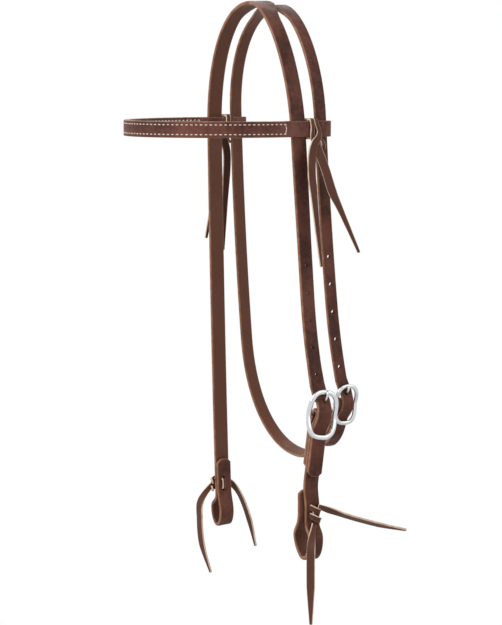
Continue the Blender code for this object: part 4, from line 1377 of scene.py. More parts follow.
    def web(self) -> Thing:
        """Leather between the two straps on top of the poll, creased along its middle.

        Returns:
            The web as an object.
        """
        stations = []
        for turn in spread(self.slit_turn, -self.slit_turn, 1.0):
            front = self.cheek.over_poll(turn)
            back = self.throat.over_poll(turn)
            front = front + BACKWARD * (LEATHER.cheek_width / 2 + self.slit_spread)
            back = back - BACKWARD * (LEATHER.throat_width / 2 + self.slit_spread)
            span = (back - front).length
            stations.append(even_station((front + back) / 2, back - front, span + self.web_lap))
        cut = Section(LEATHER.thickness - self.web_thinning, self.web_round, -self.poll_crease)
        return StrapMesh(cut).sweep("crown_web", stations)

    def punches(self, arch: Arch, buckle: Buckle, tag: str) -> list[Thing]:
        """Punches for a near billet: the worn hole round the tongue and the spare ones.

        Args:
            arch: Way of the strap.
            buckle: The buckle it threads.
            tag: Name of the punches.

        Returns:
            The punches.
        """
        up, way = Tongue(buckle).crossing()
        seat = buckle.seat
        length, width = self.worn_hole
        depth = 2 * LEATHER.thickness
        tools = [punch_tool(tag + "_worn", seat.place(up[0], 0.0, up[1]),
                            seat.up * way[0] + seat.out * way[1], seat.up, (length, width, depth))]
        wide = buckle.strap_width > LEATHER.throat_width
        radius = self.hole_radius * (self.cheek_hole_share if wide else 1.0)
        size = (2 * radius, 2 * radius, depth)
        for number in range(1, self.spare_holes + 1):
            point = self.blended(arch, buckle, up[0] + number * self.hole_pitch)
            through = self.turned(buckle, point.z).cross(seat.up)
            tools.append(punch_tool(f"{tag}{number}", point, through, seat.up, size))
        return tools

    def build(self, finishes: Finishes) -> None:
        """Make the crown's three pieces of leather.

        Args:
            finishes: Materials of the headstall.
        """
        strap = StrapMesh(STRAP_SECTION)
        front = strap.sweep("crown_cheek_strap", self.cheek_stations())
        tools = self.punches(self.cheek, self.cheek_buckle, "cheek_hole")
        tools += lace_punches(self.off_seat(), OFF_LACE_HOLE, "off_lace_hole")
        punch(front, tools)
        back = strap.sweep("crown_throat_strap", self.throat_stations())
        tools = self.punches(self.throat, self.throat_buckle, "throat_hole")
        tools.append(slot_tool(self.throat_buckle, "throat_slot"))
        punch(back, tools)
        for piece in (front, back, self.web()):
            dress(piece, finishes.bridle, Body.HEADSTALL, Slot.BRIDLE, ("crown",))


def round_bar(buckle: Buckle, reach: float, width: float) -> list[Station]:
    """Way of a turned strap's leather up to its bar, round it and back down behind.

    Args:
        buckle: The buckle.
        reach: How far below the bar it starts and ends.
        width: Width of the leather, or of the tool that follows it.

    Returns:
        Its stations.
    """
    step = buckle.swell_span / FINE.swell_steps
    radius = buckle.wrap_radius
    rest = buckle.strap_rest - LEATHER.stack
    pairs = [(up, buckle.swell(up)) for up in spread(-reach, 0.0, step)]
    pairs += [(radius * sin(turn), radius * cos(turn))
              for turn in map(radians, spread(0.0, 180.0, FINE.wrap_step)[1:])]
    for up in spread(0.0, -reach, step)[1:]:
        share = (1 + cos(pi * up / buckle.swell_span)) / 2
        pairs.append((up, rest + (-radius - rest) * share))
    return [even_station(buckle.place(up, 0.0, out), buckle.seat.across, width)
            for up, out in pairs]


def turned_strap(buckle: Buckle, ways_up: list[float]) -> list[Station]:
    """Strap that comes up to a bar, turns over it and lies back down behind itself.

    Args:
        buckle: The buckle it holds.
        ways_up: Heights of the stations below the swell.

    Returns:
        Its stations.
    """
    across = buckle.seat.across
    stations = [even_station(buckle.place(up, 0.0, buckle.swell(up)), across,
                             buckle.strap_width) for up in ways_up]
    stations += round_bar(buckle, buckle.swell_span, buckle.strap_width)
    rest = buckle.strap_rest - LEATHER.stack
    clip = buckle.strap_width * LEATHER.clip_share
    ends = spread(-buckle.swell_span, -buckle.turn_back + clip, buckle.step)[1:]
    for up in ends + spread(ends[-1], -buckle.turn_back, clip / 3)[1:]:
        reach = buckle.strap_width / 2 - max(0.0, clip - (up + buckle.turn_back))
        stations.append(Station(buckle.place(up, 0.0, rest), across, reach, reach))
    return stations


def slot_tool(buckle: Buckle, name: str) -> Thing:
    """Tool for the slot that lets the tongue's eye reach the bar."""
    cut = Section(LEATHER.thickness + SLOT_EXTRA, SLOT_EXTRA)
    return StrapMesh(cut).sweep(name, round_bar(buckle, SLOT_REACH, SLOT_WIDTH))


def lace_punches(seat: Seat, first: Pair, name: str) -> list[Thing]:
    """Pair of punches through both leathers above a bit loop.

    Args:
        seat: Seat of the loop.
        first: Up and across place of the lower hole.
        name: Name of the punches.

    Returns:
        The punches.
    """
    size = (LACE_HOLE_WIDTH, LACE_HOLE_WIDTH, 4 * LEATHER.thickness)
    return [punch_tool(f"{name}{number}",
                       seat.place(first[0] + number * LACE_PITCH, first[1], -LEATHER.stack / 2),
                       seat.out, seat.up, size) for number in range(2)]


@dataclass(frozen=True)
class BitLoop:
    """Strap that bows out round a bit ring and lies back up on its own inner face."""

    seat: Seat
    shape: Shape
    turn_back: float
    skew: float = 0.0
    bow_rise: float = 0.0090
    neck_share: float = 0.50
    round_share: float = 0.55
    climb_shares: Pair = (0.34, 0.56)
    skew_start: float = 0.54
    skew_span: float = 0.44

    def stations(self) -> list[Station]:
        """Stations from the neck round the loop to the clipped end.

        Returns:
            Its stations.
        """
        shoulder, belly, out, inward = self.shape
        behind = -LEATHER.stack
        width = LEATHER.cheek_width
        hint = self.seat.across * copysign(1, self.seat.across.y)
        outer = Vector((-shoulder, 0.0, out))
        inner = Vector((-shoulder, 0.0, behind - inward))
        bottom = Vector((-shoulder - belly, 0.0, (outer.z + inner.z) / 2))
        down = Vector((-1.0, 0.0, 0.0))
        inward_way = Vector((0.0, 0.0, -1.0))
        back = Vector((self.bow_rise, 0.0, behind))
        reach = shoulder * self.neck_share
        climb = shoulder + self.bow_rise
        round_down = belly * self.round_share
        round_in = (outer.z - inner.z) / 2 * self.round_share
        leaving, arriving = self.climb_shares
        steps = FINE.loop_steps
        neck = Vector((0.0, 0.0, 0.0))
        places = bezier((neck, neck + down * reach, outer - down * reach, outer), steps)
        places += bezier((outer, outer + down * round_down, bottom - inward_way * round_in,
                          bottom), steps)[1:]
        places += bezier((bottom, bottom + inward_way * round_in, inner + down * round_down,
                          inner), steps)[1:]
        places += bezier((inner, inner - down * (climb * leaving),
                          back + down * (climb * arriving), back), steps)[1:]
        stations = []
        for index, place in enumerate(places):
            share = (index / len(places) - self.skew_start) / self.skew_span
            across = self.skew * smooth_share(share)
            stations.append(even_station(self.seat.place(place.x, across, place.z), hint, width))
        clip = width * LEATHER.clip_share
        ups = spread(self.bow_rise, self.turn_back - clip, FINE.straight)[1:]
        for up in ups + spread(ups[-1], self.turn_back, clip / 3)[1:]:
            half = width / 2 - max(0.0, clip - (self.turn_back - up))
            stations.append(Station(self.seat.place(up, self.skew, behind), hint, half, half))
        return stations


@dataclass
class NearCheek:
    """Near cheek strap, turned over the buckle's bar above and round the bit below."""

    buckle: Buckle
    neck: Triple = (0.0955, 0.0023, -0.4990)
    lean_shares: Pair = (-0.05, 0.03)
    loop: Shape = (0.0168, 0.0194, 0.0070, 0.0127)
    turn_back: float = 0.0318
    skew: float = -0.0052
    joining_start: float = 0.0120
    joining_share: float = 0.40

    def seat(self) -> Seat:
        """Seat of the near bit loop."""
        return leaned_seat(Vector(self.neck), self.lean_shares)

    def stations(self) -> list[Station]:
        """Whole strap from the loop's clipped end to the turned end at the buckle.

        Returns:
            Its stations.
        """
        seat = self.seat()
        stations = BitLoop(seat, self.loop, self.turn_back, self.skew).stations()
        stations.reverse()
        start = seat.place(self.joining_start, 0.0, 0.0)
        last_up = -self.buckle.tail - self.buckle.blend_start
        end = self.buckle.place(last_up, 0.0, self.buckle.strap_rest)
        reach = (end - start).length * self.joining_share
        for height in spread(0.0, self.joining_start, FINE.straight)[1:-1]:
            stations.append(even_station(seat.place(height, 0.0, 0.0), BACKWARD,
                                         LEATHER.cheek_width))
        points = bezier((start, start + seat.up * reach, end - self.buckle.seat.up * reach, end),
                        FINE.joining_steps)
        stations += [even_station(point, BACKWARD, LEATHER.cheek_width) for point in points]
        ways_up = spread(last_up, -self.buckle.swell_span, FINE.straight)[1:-1]
        return stations + turned_strap(self.buckle, ways_up)

    def build(self, finishes: Finishes) -> None:
        """Make the strap and cut its slot and lace holes.

        Args:
            finishes: Materials of the headstall.
        """
        strap = StrapMesh(STRAP_SECTION).sweep("near_cheek_leather", self.stations())
        punch(strap, lace_punches(self.seat(), NEAR_LACE_HOLE, "near_lace_hole")
              + [slot_tool(self.buckle, "cheek_slot")])
        dress(strap, finishes.bridle, Body.NEAR_CHEEK, Slot.BRIDLE, ("near_cheek_strap",))


@dataclass(frozen=True)
class Tongue:
    """Wire tongue, its eye hooked on the bar and its tip laid on the upper rail."""

    buckle: Buckle
    radius: float = 0.0012
    play: float = 0.0007
    shortfall: float = 0.0008
    eye_start: float = 40.0
    eye_end: float = 300.0
    hook_share: float = 0.6
    tip_shares: Pair = (0.95, 0.55)

    def way(self, fine: bool) -> list[Pair]:
        """Centre line as up and out pairs: eye round the bar, shank, tip.

        Args:
            fine: Whether it is sampled for the mesh or only for the crossing.

        Returns:
            The pairs.
        """
        buckle = self.buckle
        eye = buckle.bar_radius + self.play + self.radius
        rest = buckle.rail_rise + buckle.rail_depth / 2 + LEATHER.gap + self.radius
        eye_step = FINE.eye_step if fine else FINE.coarse_eye_step
        pairs = [(eye * cos(turn), eye * sin(turn))
                 for turn in map(radians, spread(self.eye_start, self.eye_end, eye_step))]
        leave = radians(self.eye_end)
        knee = (eye * (cos(leave) - sin(leave)), eye * (sin(leave) + cos(leave)))
        rail = (buckle.span - buckle.rail_width / 2, rest)
        tip = (buckle.height / 2 - self.shortfall, rest - LEATHER.gap / 2)
        count = FINE.shank_steps if fine else FINE.coarse_shank_steps
        for index in range(count + 1):
            share = index / count
            eased = smooth_share(share)
            pairs.append((knee[0] + (rail[0] - knee[0]) * share,
                          knee[1] + (rail[1] - knee[1]) * eased))
        pairs.append(((rail[0] + tip[0]) / 2, rest))
        pairs.append(tip)
        return pairs

    def crossing(self) -> tuple[Pair, Pair]:
        """Place and direction where the shank comes through the billet.

        Returns:
            Place and direction, each up and outward.
        """
        pairs = self.way(False)
        steps = FINE.crossing_steps
        best = (inf, (0.0, 0.0), (1.0, 0.0))
        for one, two in zip(pairs[-8:], pairs[-7:]):
            for index in range(steps):
                share = index / steps
                up = one[0] + (two[0] - one[0]) * share
                out = one[1] + (two[1] - one[1]) * share
                for step in range(-steps, steps + 1):
                    along = up + step * self.buckle.span / (2 * steps)
                    place, height = self.buckle.layer(along, LEATHER.stack)
                    miss = hypot(place - up, height - out)
                    if miss < best[0]:
                        best = (miss, (up, out), (two[0] - one[0], two[1] - one[1]))
        return best[1], best[2]

    def build(self, name: str) -> Thing:
        """Make the wire with a domed end and a flattened, narrowed tip.

        Args:
            name: Name of the new object.

        Returns:
            The wire as an object.
        """
        pairs = self.way(True)
        points = [self.buckle.seat.place(up, 0.0, out) for up, out in pairs]
        radii = [self.radius] * len(points)
        radii[0] = self.radius * self.hook_share
        radii[-2:] = [self.radius * share for share in self.tip_shares]
        return wire(name, points, radii, self.buckle.seat.across)


@dataclass
class BuckleSet:
    """Cast frame with its bar, and the tongue that turns on it."""

    buckle: Buckle
    tag: str
    tongue_body: Body
    oval_power: float = 2.9
    section_power: float = 2.5
    section_sides: int = 20
    rise_share: float = 0.80
    bar_run: float = 0.86
    bar_lift: float = 0.0012

    def frame_points(self) -> list[Vector]:
        """Places of the rail's middle line: across, up and out in the seat.

        Returns:
            The places.
        """
        buckle = self.buckle
        half = (buckle.width - buckle.rail_width) / 2
        points = []
        for angle in spread(0.0, 360.0, FINE.frame_step)[:-1]:
            cosine, sine = squared(radians(angle), self.oval_power)
            up = buckle.span * sine
            share = smooth_share(abs(up) / (buckle.span * self.rise_share))
            rise = buckle.side_rise + (buckle.rail_rise - buckle.side_rise) * share
            points.append(Vector((half * cosine + buckle.frame_shift, up, rise)))
        return points

    def frame(self) -> Thing:
        """Sweep the rail's softly squared section round the oval, and set the bar across it.

        Returns:
            The frame as an object.
        """
        buckle = self.buckle
        points = self.frame_points()
        places = [buckle.seat.place(p.y, p.x, p.z) for p in points]
        work = bmesh.new()
        rings = []
        for index, place in enumerate(places):
            way = (places[(index + 1) % len(places)] - places[index - 1]).normalized()
            side = way.cross(buckle.seat.out).normalized()
            top = side.cross(way)
            ring = []
            for step in range(self.section_sides):
                a, b = squared(tau * step / self.section_sides, self.section_power)
                ring.append(work.verts.new(place + side * (a * buckle.rail_width / 2)
                                           + top * (b * buckle.rail_depth / 2)))
            rings.append(ring)
        rail = skinned(self.tag + "_rail", work, rings, True)
        half = (buckle.width - buckle.rail_width) / 2
        ends = [buckle.seat.place(0.0, buckle.frame_shift + side * half * share, rise)
                for side, share, rise in ((-1, 1.0, self.bar_lift), (-1, self.bar_run, 0.0),
                                          (1, self.bar_run, 0.0), (1, 1.0, self.bar_lift))]
        bar = wire(self.tag + "_bar", ends, [buckle.bar_radius] * 4, buckle.seat.up)
        return joined(self.tag + "_frame", [rail, bar])

    def build(self, finishes: Finishes) -> None:
        """Make the frame and the tongue.

        Args:
            finishes: Materials of the headstall.
        """
        frame = self.frame()
        dress(frame, finishes.nickel, Body.HEADSTALL, Slot.NICKEL, (self.tag + "_buckle_frame",))
        tongue = Tongue(self.buckle).build(self.tag + "_tongue_wire")
        dress(tongue, finishes.nickel, self.tongue_body, Slot.NICKEL,
              (self.tag + "_buckle_tongue",))


@dataclass
class Browband:
    """Folded band round the brow: outer leather turned in as a pocket at each end, and a lining."""

    crown: Crown
    leather: float = 0.0028
    width: float = 0.0154
    height: float = -0.1176
    tilt_shares: Pair = (0.024, -0.016)
    front: float = -0.1430
    side_end: float = -0.0250
    slide: float = 0.0050
    play: float = 0.0006
    back_play: float = 0.0011
    close_length: float = 0.0088
    lap: float = 0.0120
    butt_gap: float = 0.0006
    edge_round: float = 0.0008
    stitch_inset: float = 0.0031
    stitch_end: float = -0.0222
    rung_bow: float = 0.0014
    rung_reach: float = 0.8
    rung_step: float = 0.1
    lap_step: float = 0.002
    side_step: float = 0.004
    close_step: float = 0.07
    row: StitchLine = StitchLine(0.0046, 0.0030, 0.00062)
    end_row: StitchLine = StitchLine(0.0024, 0.0030, 0.00055)

    def __post_init__(self) -> None:
        """Work out how wide and deep the pockets are, so that both legs pass freely."""
        reach = self.width / 2 + self.slide
        heights = [self.level(side * self.crown.cheek.half_width, 0.0) + shift
                   for side in (1, -1) for shift in (-reach, 0.0, reach)]
        backs = [self.crown.throat.at_height(height, 1) for height in heights]
        outs = [place.x for place in
                backs + [self.crown.cheek.at_height(height, 1) for height in heights]]
        clear = LEATHER.thickness / 2 + self.play + self.leather / 2
        self.outer = max(outs) + clear
        self.inner = min(outs) - clear
        self.back = max(place.y for place in backs) + LEATHER.throat_width / 2 + self.back_play

    def level(self, x: float, y: float) -> float:
        """Height of the band's middle line at a place of its plan."""
        return self.height + self.tilt_shares[0] * x + self.tilt_shares[1] * y

    @property
    def upward(self) -> Vector:
        """Width direction of the band."""
        return Vector((-self.tilt_shares[0], -self.tilt_shares[1], 1.0)).normalized()

    def oval(self, inset: float, angles: list[float]) -> list[Vector]:
        """Half oval round the brow, inset from the outer leather, near side to off side.

        Args:
            inset: Distance inside the outer leather.
            angles: Degrees from the near side.

        Returns:
            Places of the plan.
        """
        half = self.outer - inset
        depth = self.side_end - (self.front + inset)
        return [Vector((half * cos(turn), self.side_end - depth * sin(turn), 0.0))
                for turn in map(radians, angles)]

    def stations(self, plan: list[Vector]) -> list[Station]:
        """Upright strap along a way given in plan."""
        return [even_station(Vector((p.x, p.y, self.level(p.x, p.y))), self.upward, self.width)
                for p in plan]

    def pocket(self) -> list[Vector]:
        """Plan of the near pocket, from its stitched end back round behind the legs.

        Returns:
            Places of the plan.
        """
        lining = self.outer - self.leather - LEATHER.gap
        stop = self.side_end - self.lap
        points = [Vector((lining, y, 0.0)) for y in spread(stop, self.side_end, self.lap_step)]
        for share in spread(0.0, 1.0, self.close_step)[1:]:
            inward = lining + (self.inner - lining) * smooth_share(share)
            points.append(Vector((inward, self.side_end + self.close_length * share, 0.0)))
        middle = (self.outer + self.inner) / 2
        radius = (self.outer - self.inner) / 2
        start = self.back + self.leather / 2 - radius
        points += [Vector((self.inner, y, 0.0))
                   for y in spread(points[-1].y, start, self.side_step)[1:-1]]
        points += [Vector((middle + radius * cos(turn), start + radius * sin(turn), 0.0))
                   for turn in map(radians, spread(180.0, 0.0, FINE.wrap_step))]
        points += [Vector((self.outer, y, 0.0))
                   for y in spread(start, self.side_end, self.side_step)[1:-1]]
        return points

    def stitches(self, thread: Material) -> Thing:
        """Two rows round the band, closed across it before each pocket, on both faces.

        Args:
            thread: Thread material.

        Returns:
            The stitches as one plain mesh.
        """
        ways = []
        rungs = []
        angles = spread(0.0, 180.0, 1.0)
        inside = self.leather + LEATHER.gap
        for inset, sense in ((-self.leather / 2, 1.0), (inside + self.leather / 2, -1.0)):
            plan = [p for p in self.oval(inset, angles) if p.y < self.stitch_end]
            for share in (1.0, -1.0):
                shift = self.upward * (share * (self.width / 2 - self.stitch_inset))
                way = [Vector((p.x, p.y, self.level(p.x, p.y))) + shift for p in plan]
                ways.append((way, [UPWARD.cross(item) * sense for item in directions(plan)]))
            for end in (plan[0], plan[-1]):
                base = Vector((end.x, end.y, self.level(end.x, end.y)))
                high = self.width / 2 - self.stitch_inset
                rung = [base + self.upward * (high * s) + BACKWARD * (self.rung_bow * (1 - s * s))
                        for s in spread(-self.rung_reach, self.rung_reach, self.rung_step)]
                facing = Vector((copysign(sense, end.x), 0.0, 0.0))
                rungs.append((rung, [facing] * len(rung)))
        rows = self.row.sew("browband_stitches", ways, thread)
        ends = self.end_row.sew("browband_end_stitches", rungs, thread)
        return joined("browband_stitches", [rows, ends])

    def build(self, finishes: Finishes) -> None:
        """Make the outer leather, the lining and the stitching.

        Args:
            finishes: Materials of the headstall.
        """
        angles = spread(0.0, 180.0, FINE.brow_step)
        near = self.pocket()
        off = [Vector((-p.x, p.y, 0.0)) for p in reversed(near)]
        plan = near + self.oval(0.0, angles) + off
        cut = Section(self.leather, self.edge_round)
        face = StrapMesh(cut).sweep("browband_outer", self.stations(plan))
        dress(face, finishes.band, Body.BROWBAND, Slot.BRIDLE, ("browband_face",))
        inset = self.leather + LEATHER.gap
        stop = self.side_end - self.lap - self.butt_gap
        inner = [p for p in self.oval(inset, angles) if p.y < stop]
        lining = StrapMesh(cut).sweep("browband_inner", self.stations(inner))
        flip_underside(lining)
        dress(lining, finishes.lining, Body.BROWBAND, Slot.LINING, ("browband_lining",))
        dress(self.stitches(finishes.thread), finishes.thread, Body.BROWBAND, Slot.LACE, ())


def flip_underside(strap: Thing) -> None:
    """Turn a strap's grain side to its inner face."""
    for item in strap.data.attributes["under"].data:
        item.value = 1.0 - item.value


@dataclass(frozen=True)
class EndSewing:
    """Stitches that hold a strap's turned end, on its inner face."""

    line: StitchLine = StitchLine(0.0036, 0.0027, 0.00042)
    inset: float = 0.0028
    start: float = 0.0015
    end: float = 0.0050
    step: float = 0.0012
    rung_reach: float = 0.75
    rung_step: float = 0.15
    probe: float = 0.001

    def sew(self, buckle: Buckle, name: str, thread: Material) -> Thing:
        """Sew both long rows and the row across.

        Args:
            buckle: The buckle whose strap is sewn.
            name: Name of the new object.
            thread: Thread material.

        Returns:
            The stitches as one plain mesh.
        """
        rest = buckle.strap_rest - LEATHER.stack
        face = rest - LEATHER.thickness / 2
        inset = buckle.strap_width / 2 - self.inset
        ups = spread(-buckle.swell_span - self.start, -buckle.turn_back + self.end, self.step)
        facing = [(buckle.place(up, 0.0, rest - self.probe)
                   - buckle.place(up, 0.0, rest)).normalized() for up in ups]
        ways = [([buckle.place(up, side * inset, face) for up in ups], facing)
                for side in (1.0, -1.0)]
        rung = [buckle.place(ups[-1], inset * share, face)
                for share in spread(-self.rung_reach, self.rung_reach, self.rung_step)]
        ways.append((rung, [facing[-1]] * len(rung)))
        return self.line.sew(name, ways, thread)


@dataclass(frozen=True)
class Tail:
    """Free end of a lace: the places it passes, how it lies, and where it leaves its knot."""

    places: tuple[Triple, ...]
    hint: Triple
    start: Triple = (0.0, 0.0, 0.0)


@dataclass
class Lacing:
    """Flat latigo lace and the knots tied with it."""

    section: Section = Section(0.0022, 0.0007, 0.0003)
    tail_width: float = 0.0085
    inner_width: float = 0.0030
    wrap_width: float = 0.0058
    wrap_tilt_share: float = 0.55
    strand_width: float = 0.0040
    strand_tilt_share: float = 0.4
    peg_radius: float = 0.0017
    peg_turn_share: float = 0.9
    dive_share: float = 1.1
    knot_lean: float = 0.0022
    knot_pitch: float = 0.0041
    knot_start: float = 0.0040
    knot_hook: float = 0.0016
    wrap_shares: tuple[float, ...] = (1.3, 0.7, -0.2, -1.0, -1.3)
    proud_share: float = 2.2
    belly_share: float = 0.3
    lift_share: float = 0.55
    tip_share: float = 0.35
    taper_share: float = 0.25
    twist_share: float = 0.45
    gather_share: float = 0.62
    ring_shift: float = 0.0023
    ring_width: float = 0.0043
    ring_corner_share: float = 0.8
    ring_turn_step: float = 15.0
    open_start: float = 0.18
    open_span: float = 0.30
    face_ways: tuple[tuple[Triple, ...], ...] = (
        ((0.0006, 0.0020, -0.0018), (0.0006, -0.0060, -0.0020), (0.0010, -0.0125, 0.0004)),
        ((0.0006, 0.0030, 0.0034), (0.0012, -0.0030, 0.0050), (0.0036, -0.0085, 0.0026),
         (0.0040, -0.0140, -0.0018)))
    half_knot: tuple[Triple, ...] = (
        (0.0022, -0.0080, 0.0040), (0.0040, -0.0115, 0.0064), (0.0040, -0.0155, 0.0084),
        (0.0008, -0.0190, 0.0098))

    def tapered(self, done: float) -> float:
        """Share of its width that a tail keeps at a share of its way to the tip."""
        return self.tip_share + (1 - self.tip_share) * min(1.0, (1 - done) / self.taper_share)

    def strand(self, name: str, way: list[Vector], hint: Vector, width: float) -> Thing:
        """Short curved stretch through a few places."""
        stations = [even_station(p, hint, width) for p in smooth_way(way, FINE.strand_steps)]
        return StrapMesh(self.section).sweep(name, stations)

    def tail(self, name: str, start: Vector, tail: Tail, outward: Vector) -> Thing:
        """Free end, gathered and flat on the leather, turned to its hint and cut to a tip.

        Args:
            name: Name of the new object.
            start: Where it leaves its knot.
            tail: The places it passes and how it lies.
            outward: Direction out of the leather.

        Returns:
            The tail as an object.
        """
        places = [start] + [Vector(place) for place in tail.places]
        hint = Vector(tail.hint)
        points = smooth_way(places, FINE.tail_steps)
        flat = outward.cross(points[1] - points[0]).normalized()
        if flat.dot(hint) < 0:
            flat = -flat
        stations = []
        count = len(points) - 1
        for index, point in enumerate(points):
            done = index / count
            eased = smooth_share(done / self.twist_share)
            opened = self.gather_share + (1 - self.gather_share) * eased
            turned = flat.lerp(hint.normalized(), eased)
            stations.append(even_station(point, turned,
                                         self.tail_width * opened * self.tapered(done)))
        return StrapMesh(self.section).sweep(name, stations)

    def bit_knot(self, seat: Seat, hole: Pair, name: str, tails: tuple[Tail, ...],
                 knot_reach: float) -> Thing:
        """Lace through both holes above a bit loop, wrapped twice over one edge.

        Args:
            seat: Seat of the loop.
            hole: Up and across place of the lower hole.
            name: Name of the new object.
            tails: Its two free ends.
            knot_reach: How far across the wraps reach.

        Returns:
            The lace as an object.
        """
        thickness = self.section.thickness
        outer = LEATHER.thickness / 2 + LEATHER.gap + thickness / 2
        inner = -LEATHER.thickness * 3 / 2 - LEATHER.gap * 2 - thickness / 2
        low, aside = hole
        high = low + LACE_PITCH
        middle = (low + high) / 2
        lift = thickness * self.lift_share
        dive = thickness * self.dive_share
        turn = self.peg_radius * self.peg_turn_share

        ups = (low, low + turn, middle, high - turn, high)

        def through(tag: str, outs: tuple[float, ...]) -> Thing:
            """Stretch of lace from hole to hole along one face."""
            way = [seat.place(up, aside, out) for up, out in zip(ups, outs)]
            return self.strand(name + tag, way, BACKWARD, self.inner_width)

        parts = [through("", (inner + dive, inner, inner - lift * self.belly_share, inner,
                              inner + dive))]
        for number, up in enumerate((low, high)):
            ends = [seat.place(up, aside, inner + dive), seat.place(up, aside, outer - dive)]
            parts.append(marked(wire(f"{name}_peg{number}", ends, [self.peg_radius] * 2, seat.up)))
        parts.append(through("_strand", (outer - dive, outer, outer + lift / 2, outer,
                                         outer - dive)))
        tilt = seat.up + seat.out * self.wrap_tilt_share
        for number, side in enumerate((1, -1)):
            up = middle + side * self.knot_pitch
            proud = outer + lift * (self.proud_share + number / 2)
            places = ((-self.knot_start, outer - lift), (-self.knot_start / 2, proud - lift),
                      ((knot_reach - self.knot_start) / 2, proud),
                      (knot_reach - self.knot_hook, proud - lift), (knot_reach, outer - lift))
            wrap = [seat.place(up + self.knot_lean * share, across, out)
                    for share, (across, out) in zip(self.wrap_shares, places)]
            parts.append(self.strand(f"{name}_wrap{number}", wrap, tilt, self.wrap_width))
        for number, tail in enumerate(tails):
            up, across, proud = tail.start
            begin = seat.place(up, across, outer + proud)
            parts.append(self.tail(f"{name}_tail{number}", begin, tail, seat.out))
        return joined(name, parts)

    def band_knot(self, band: Browband, side: int, name: str, tails: tuple[Tail, ...]) -> Thing:
        """Lace round the browband between the two legs, crossed on its outer face.

        Args:
            band: The browband.
            side: +1 near, -1 off.
            name: Name of the new object.
            tails: Its two free ends.

        Returns:
            The lace as an object.
        """
        thickness = self.section.thickness
        level = band.level(side * band.outer, 0.0)
        gap_front = band.crown.cheek.at_height(level, 1).y + LEATHER.cheek_width / 2
        gap_back = band.crown.throat.at_height(level, 1).y - LEATHER.throat_width / 2
        middle = (gap_front + gap_back) / 2
        clear = band.leather / 2 + LEATHER.gap + thickness / 2
        rise = band.width / 2 + LEATHER.gap + thickness / 2
        out = band.outer + clear
        inn = band.inner - clear

        def beside(x: float, y: float, up: float) -> Vector:
            """Place beside the band, up from its middle line."""
            return Vector((side * x, y, band.level(side * x, y))) + band.upward * up

        corner = thickness * self.ring_corner_share
        parts = []
        for number, (share, face, tail) in enumerate(zip((-1, 1), self.face_ways, tails)):
            start = middle + share * self.ring_shift
            ring = [beside(out - corner - thickness / 2, start, -rise)]
            for x, up, first, last in ((inn + corner, corner - rise, 270, 180),
                                       (inn + corner, rise - corner, 180, 90),
                                       (out - corner, rise - corner, 90, 0)):
                for angle in spread(first, last, self.ring_turn_step):
                    turn = radians(angle)
                    ring.append(beside(x + corner * cos(turn), start, up + corner * sin(turn)))
            crossing = [beside(out + proud, middle + y, up) for proud, up, y in face]
            places = [ring[-1]] + crossing + [Vector(place) for place in tail.places]
            parts.append(self.wrapped_tail(f"{name}_tail{number}", ring, places, Vector(tail.hint)))
        way = [beside(out + proud, middle + y, up) for proud, up, y in self.half_knot]
        hint = BACKWARD - band.upward * self.strand_tilt_share
        parts.append(self.strand(name + "_half_knot", way, hint, self.strand_width))
        return joined(name, parts)

    def wrapped_tail(self, name: str, ring: list[Vector], places: list[Vector],
                     hint: Vector) -> Thing:
        """Lace that goes round the band, crosses its face and hangs as a cut tail.

        Args:
            name: Name of the new object.
            ring: Way round the band, up to the top of its outer face.
            places: Places from there down to the tip.
            hint: Width direction of the free end.

        Returns:
            The lace as an object.
        """
        stations = [even_station(point, BACKWARD, self.ring_width) for point in ring[:-1]]
        points = smooth_way(places, FINE.tail_steps)
        count = len(points) - 1
        for index, point in enumerate(points):
            done = index / count
            opened = smooth_share((done - self.open_start) / self.open_span)
            width = self.ring_width + (self.tail_width - self.ring_width) * opened
            turned = BACKWARD.lerp(hint.normalized(), opened)
            stations.append(even_station(point, turned, width * self.tapered(done)))
        return StrapMesh(self.section).sweep(name, stations)


NEAR_BIT_TAILS = (
    Tail(((0.1020, 0.0205, -0.4890), (0.1020, 0.0426, -0.4979), (0.1020, 0.0776, -0.5100),
          (0.1020, 0.1088, -0.5188)), (0.85, 0.0, 0.5), (0.0153, 0.0040, 0.0018)),
    Tail(((0.1090, -0.0060, -0.5105), (0.1140, -0.0100, -0.5210), (0.1135, -0.0100, -0.5369),
          (0.1110, -0.0083, -0.5675), (0.1110, -0.0080, -0.5977)), (0.75, 0.66, 0.0),
         (-0.0020, 0.0000, 0.0004)),
)
OFF_BIT_TAILS = (
    Tail(((-0.1070, -0.0103, -0.5150), (-0.1070, -0.0120, -0.5368), (-0.1060, -0.0099, -0.5634),
          (-0.1050, -0.0002, -0.5945)), (1.0, 0.2, 0.0), (0.0160, 0.0030, 0.0016)),
    Tail(((-0.1060, 0.0258, -0.5010), (-0.1060, 0.0355, -0.5135), (-0.1060, 0.0432, -0.5303),
          (-0.1060, 0.0494, -0.5492), (-0.1050, 0.0547, -0.5725)), (1.0, 0.1, 0.1),
         (0.0160, -0.0030, 0.0016)),
)
NEAR_BAND_TAILS = (
    Tail(((0.0940, 0.0090, -0.1365), (0.0970, 0.0152, -0.1548), (0.1000, 0.0213, -0.1761),
          (0.1020, 0.0304, -0.1957), (0.1020, 0.0507, -0.2360)), (0.5, 1.0, 0.3)),
    Tail(((0.0935, 0.0022, -0.1401), (0.0950, 0.0010, -0.1590), (0.0975, 0.0015, -0.1752),
          (0.1000, 0.0038, -0.2068), (0.1010, 0.0085, -0.2477)), (0.0, 1.0, 0.0)),
)
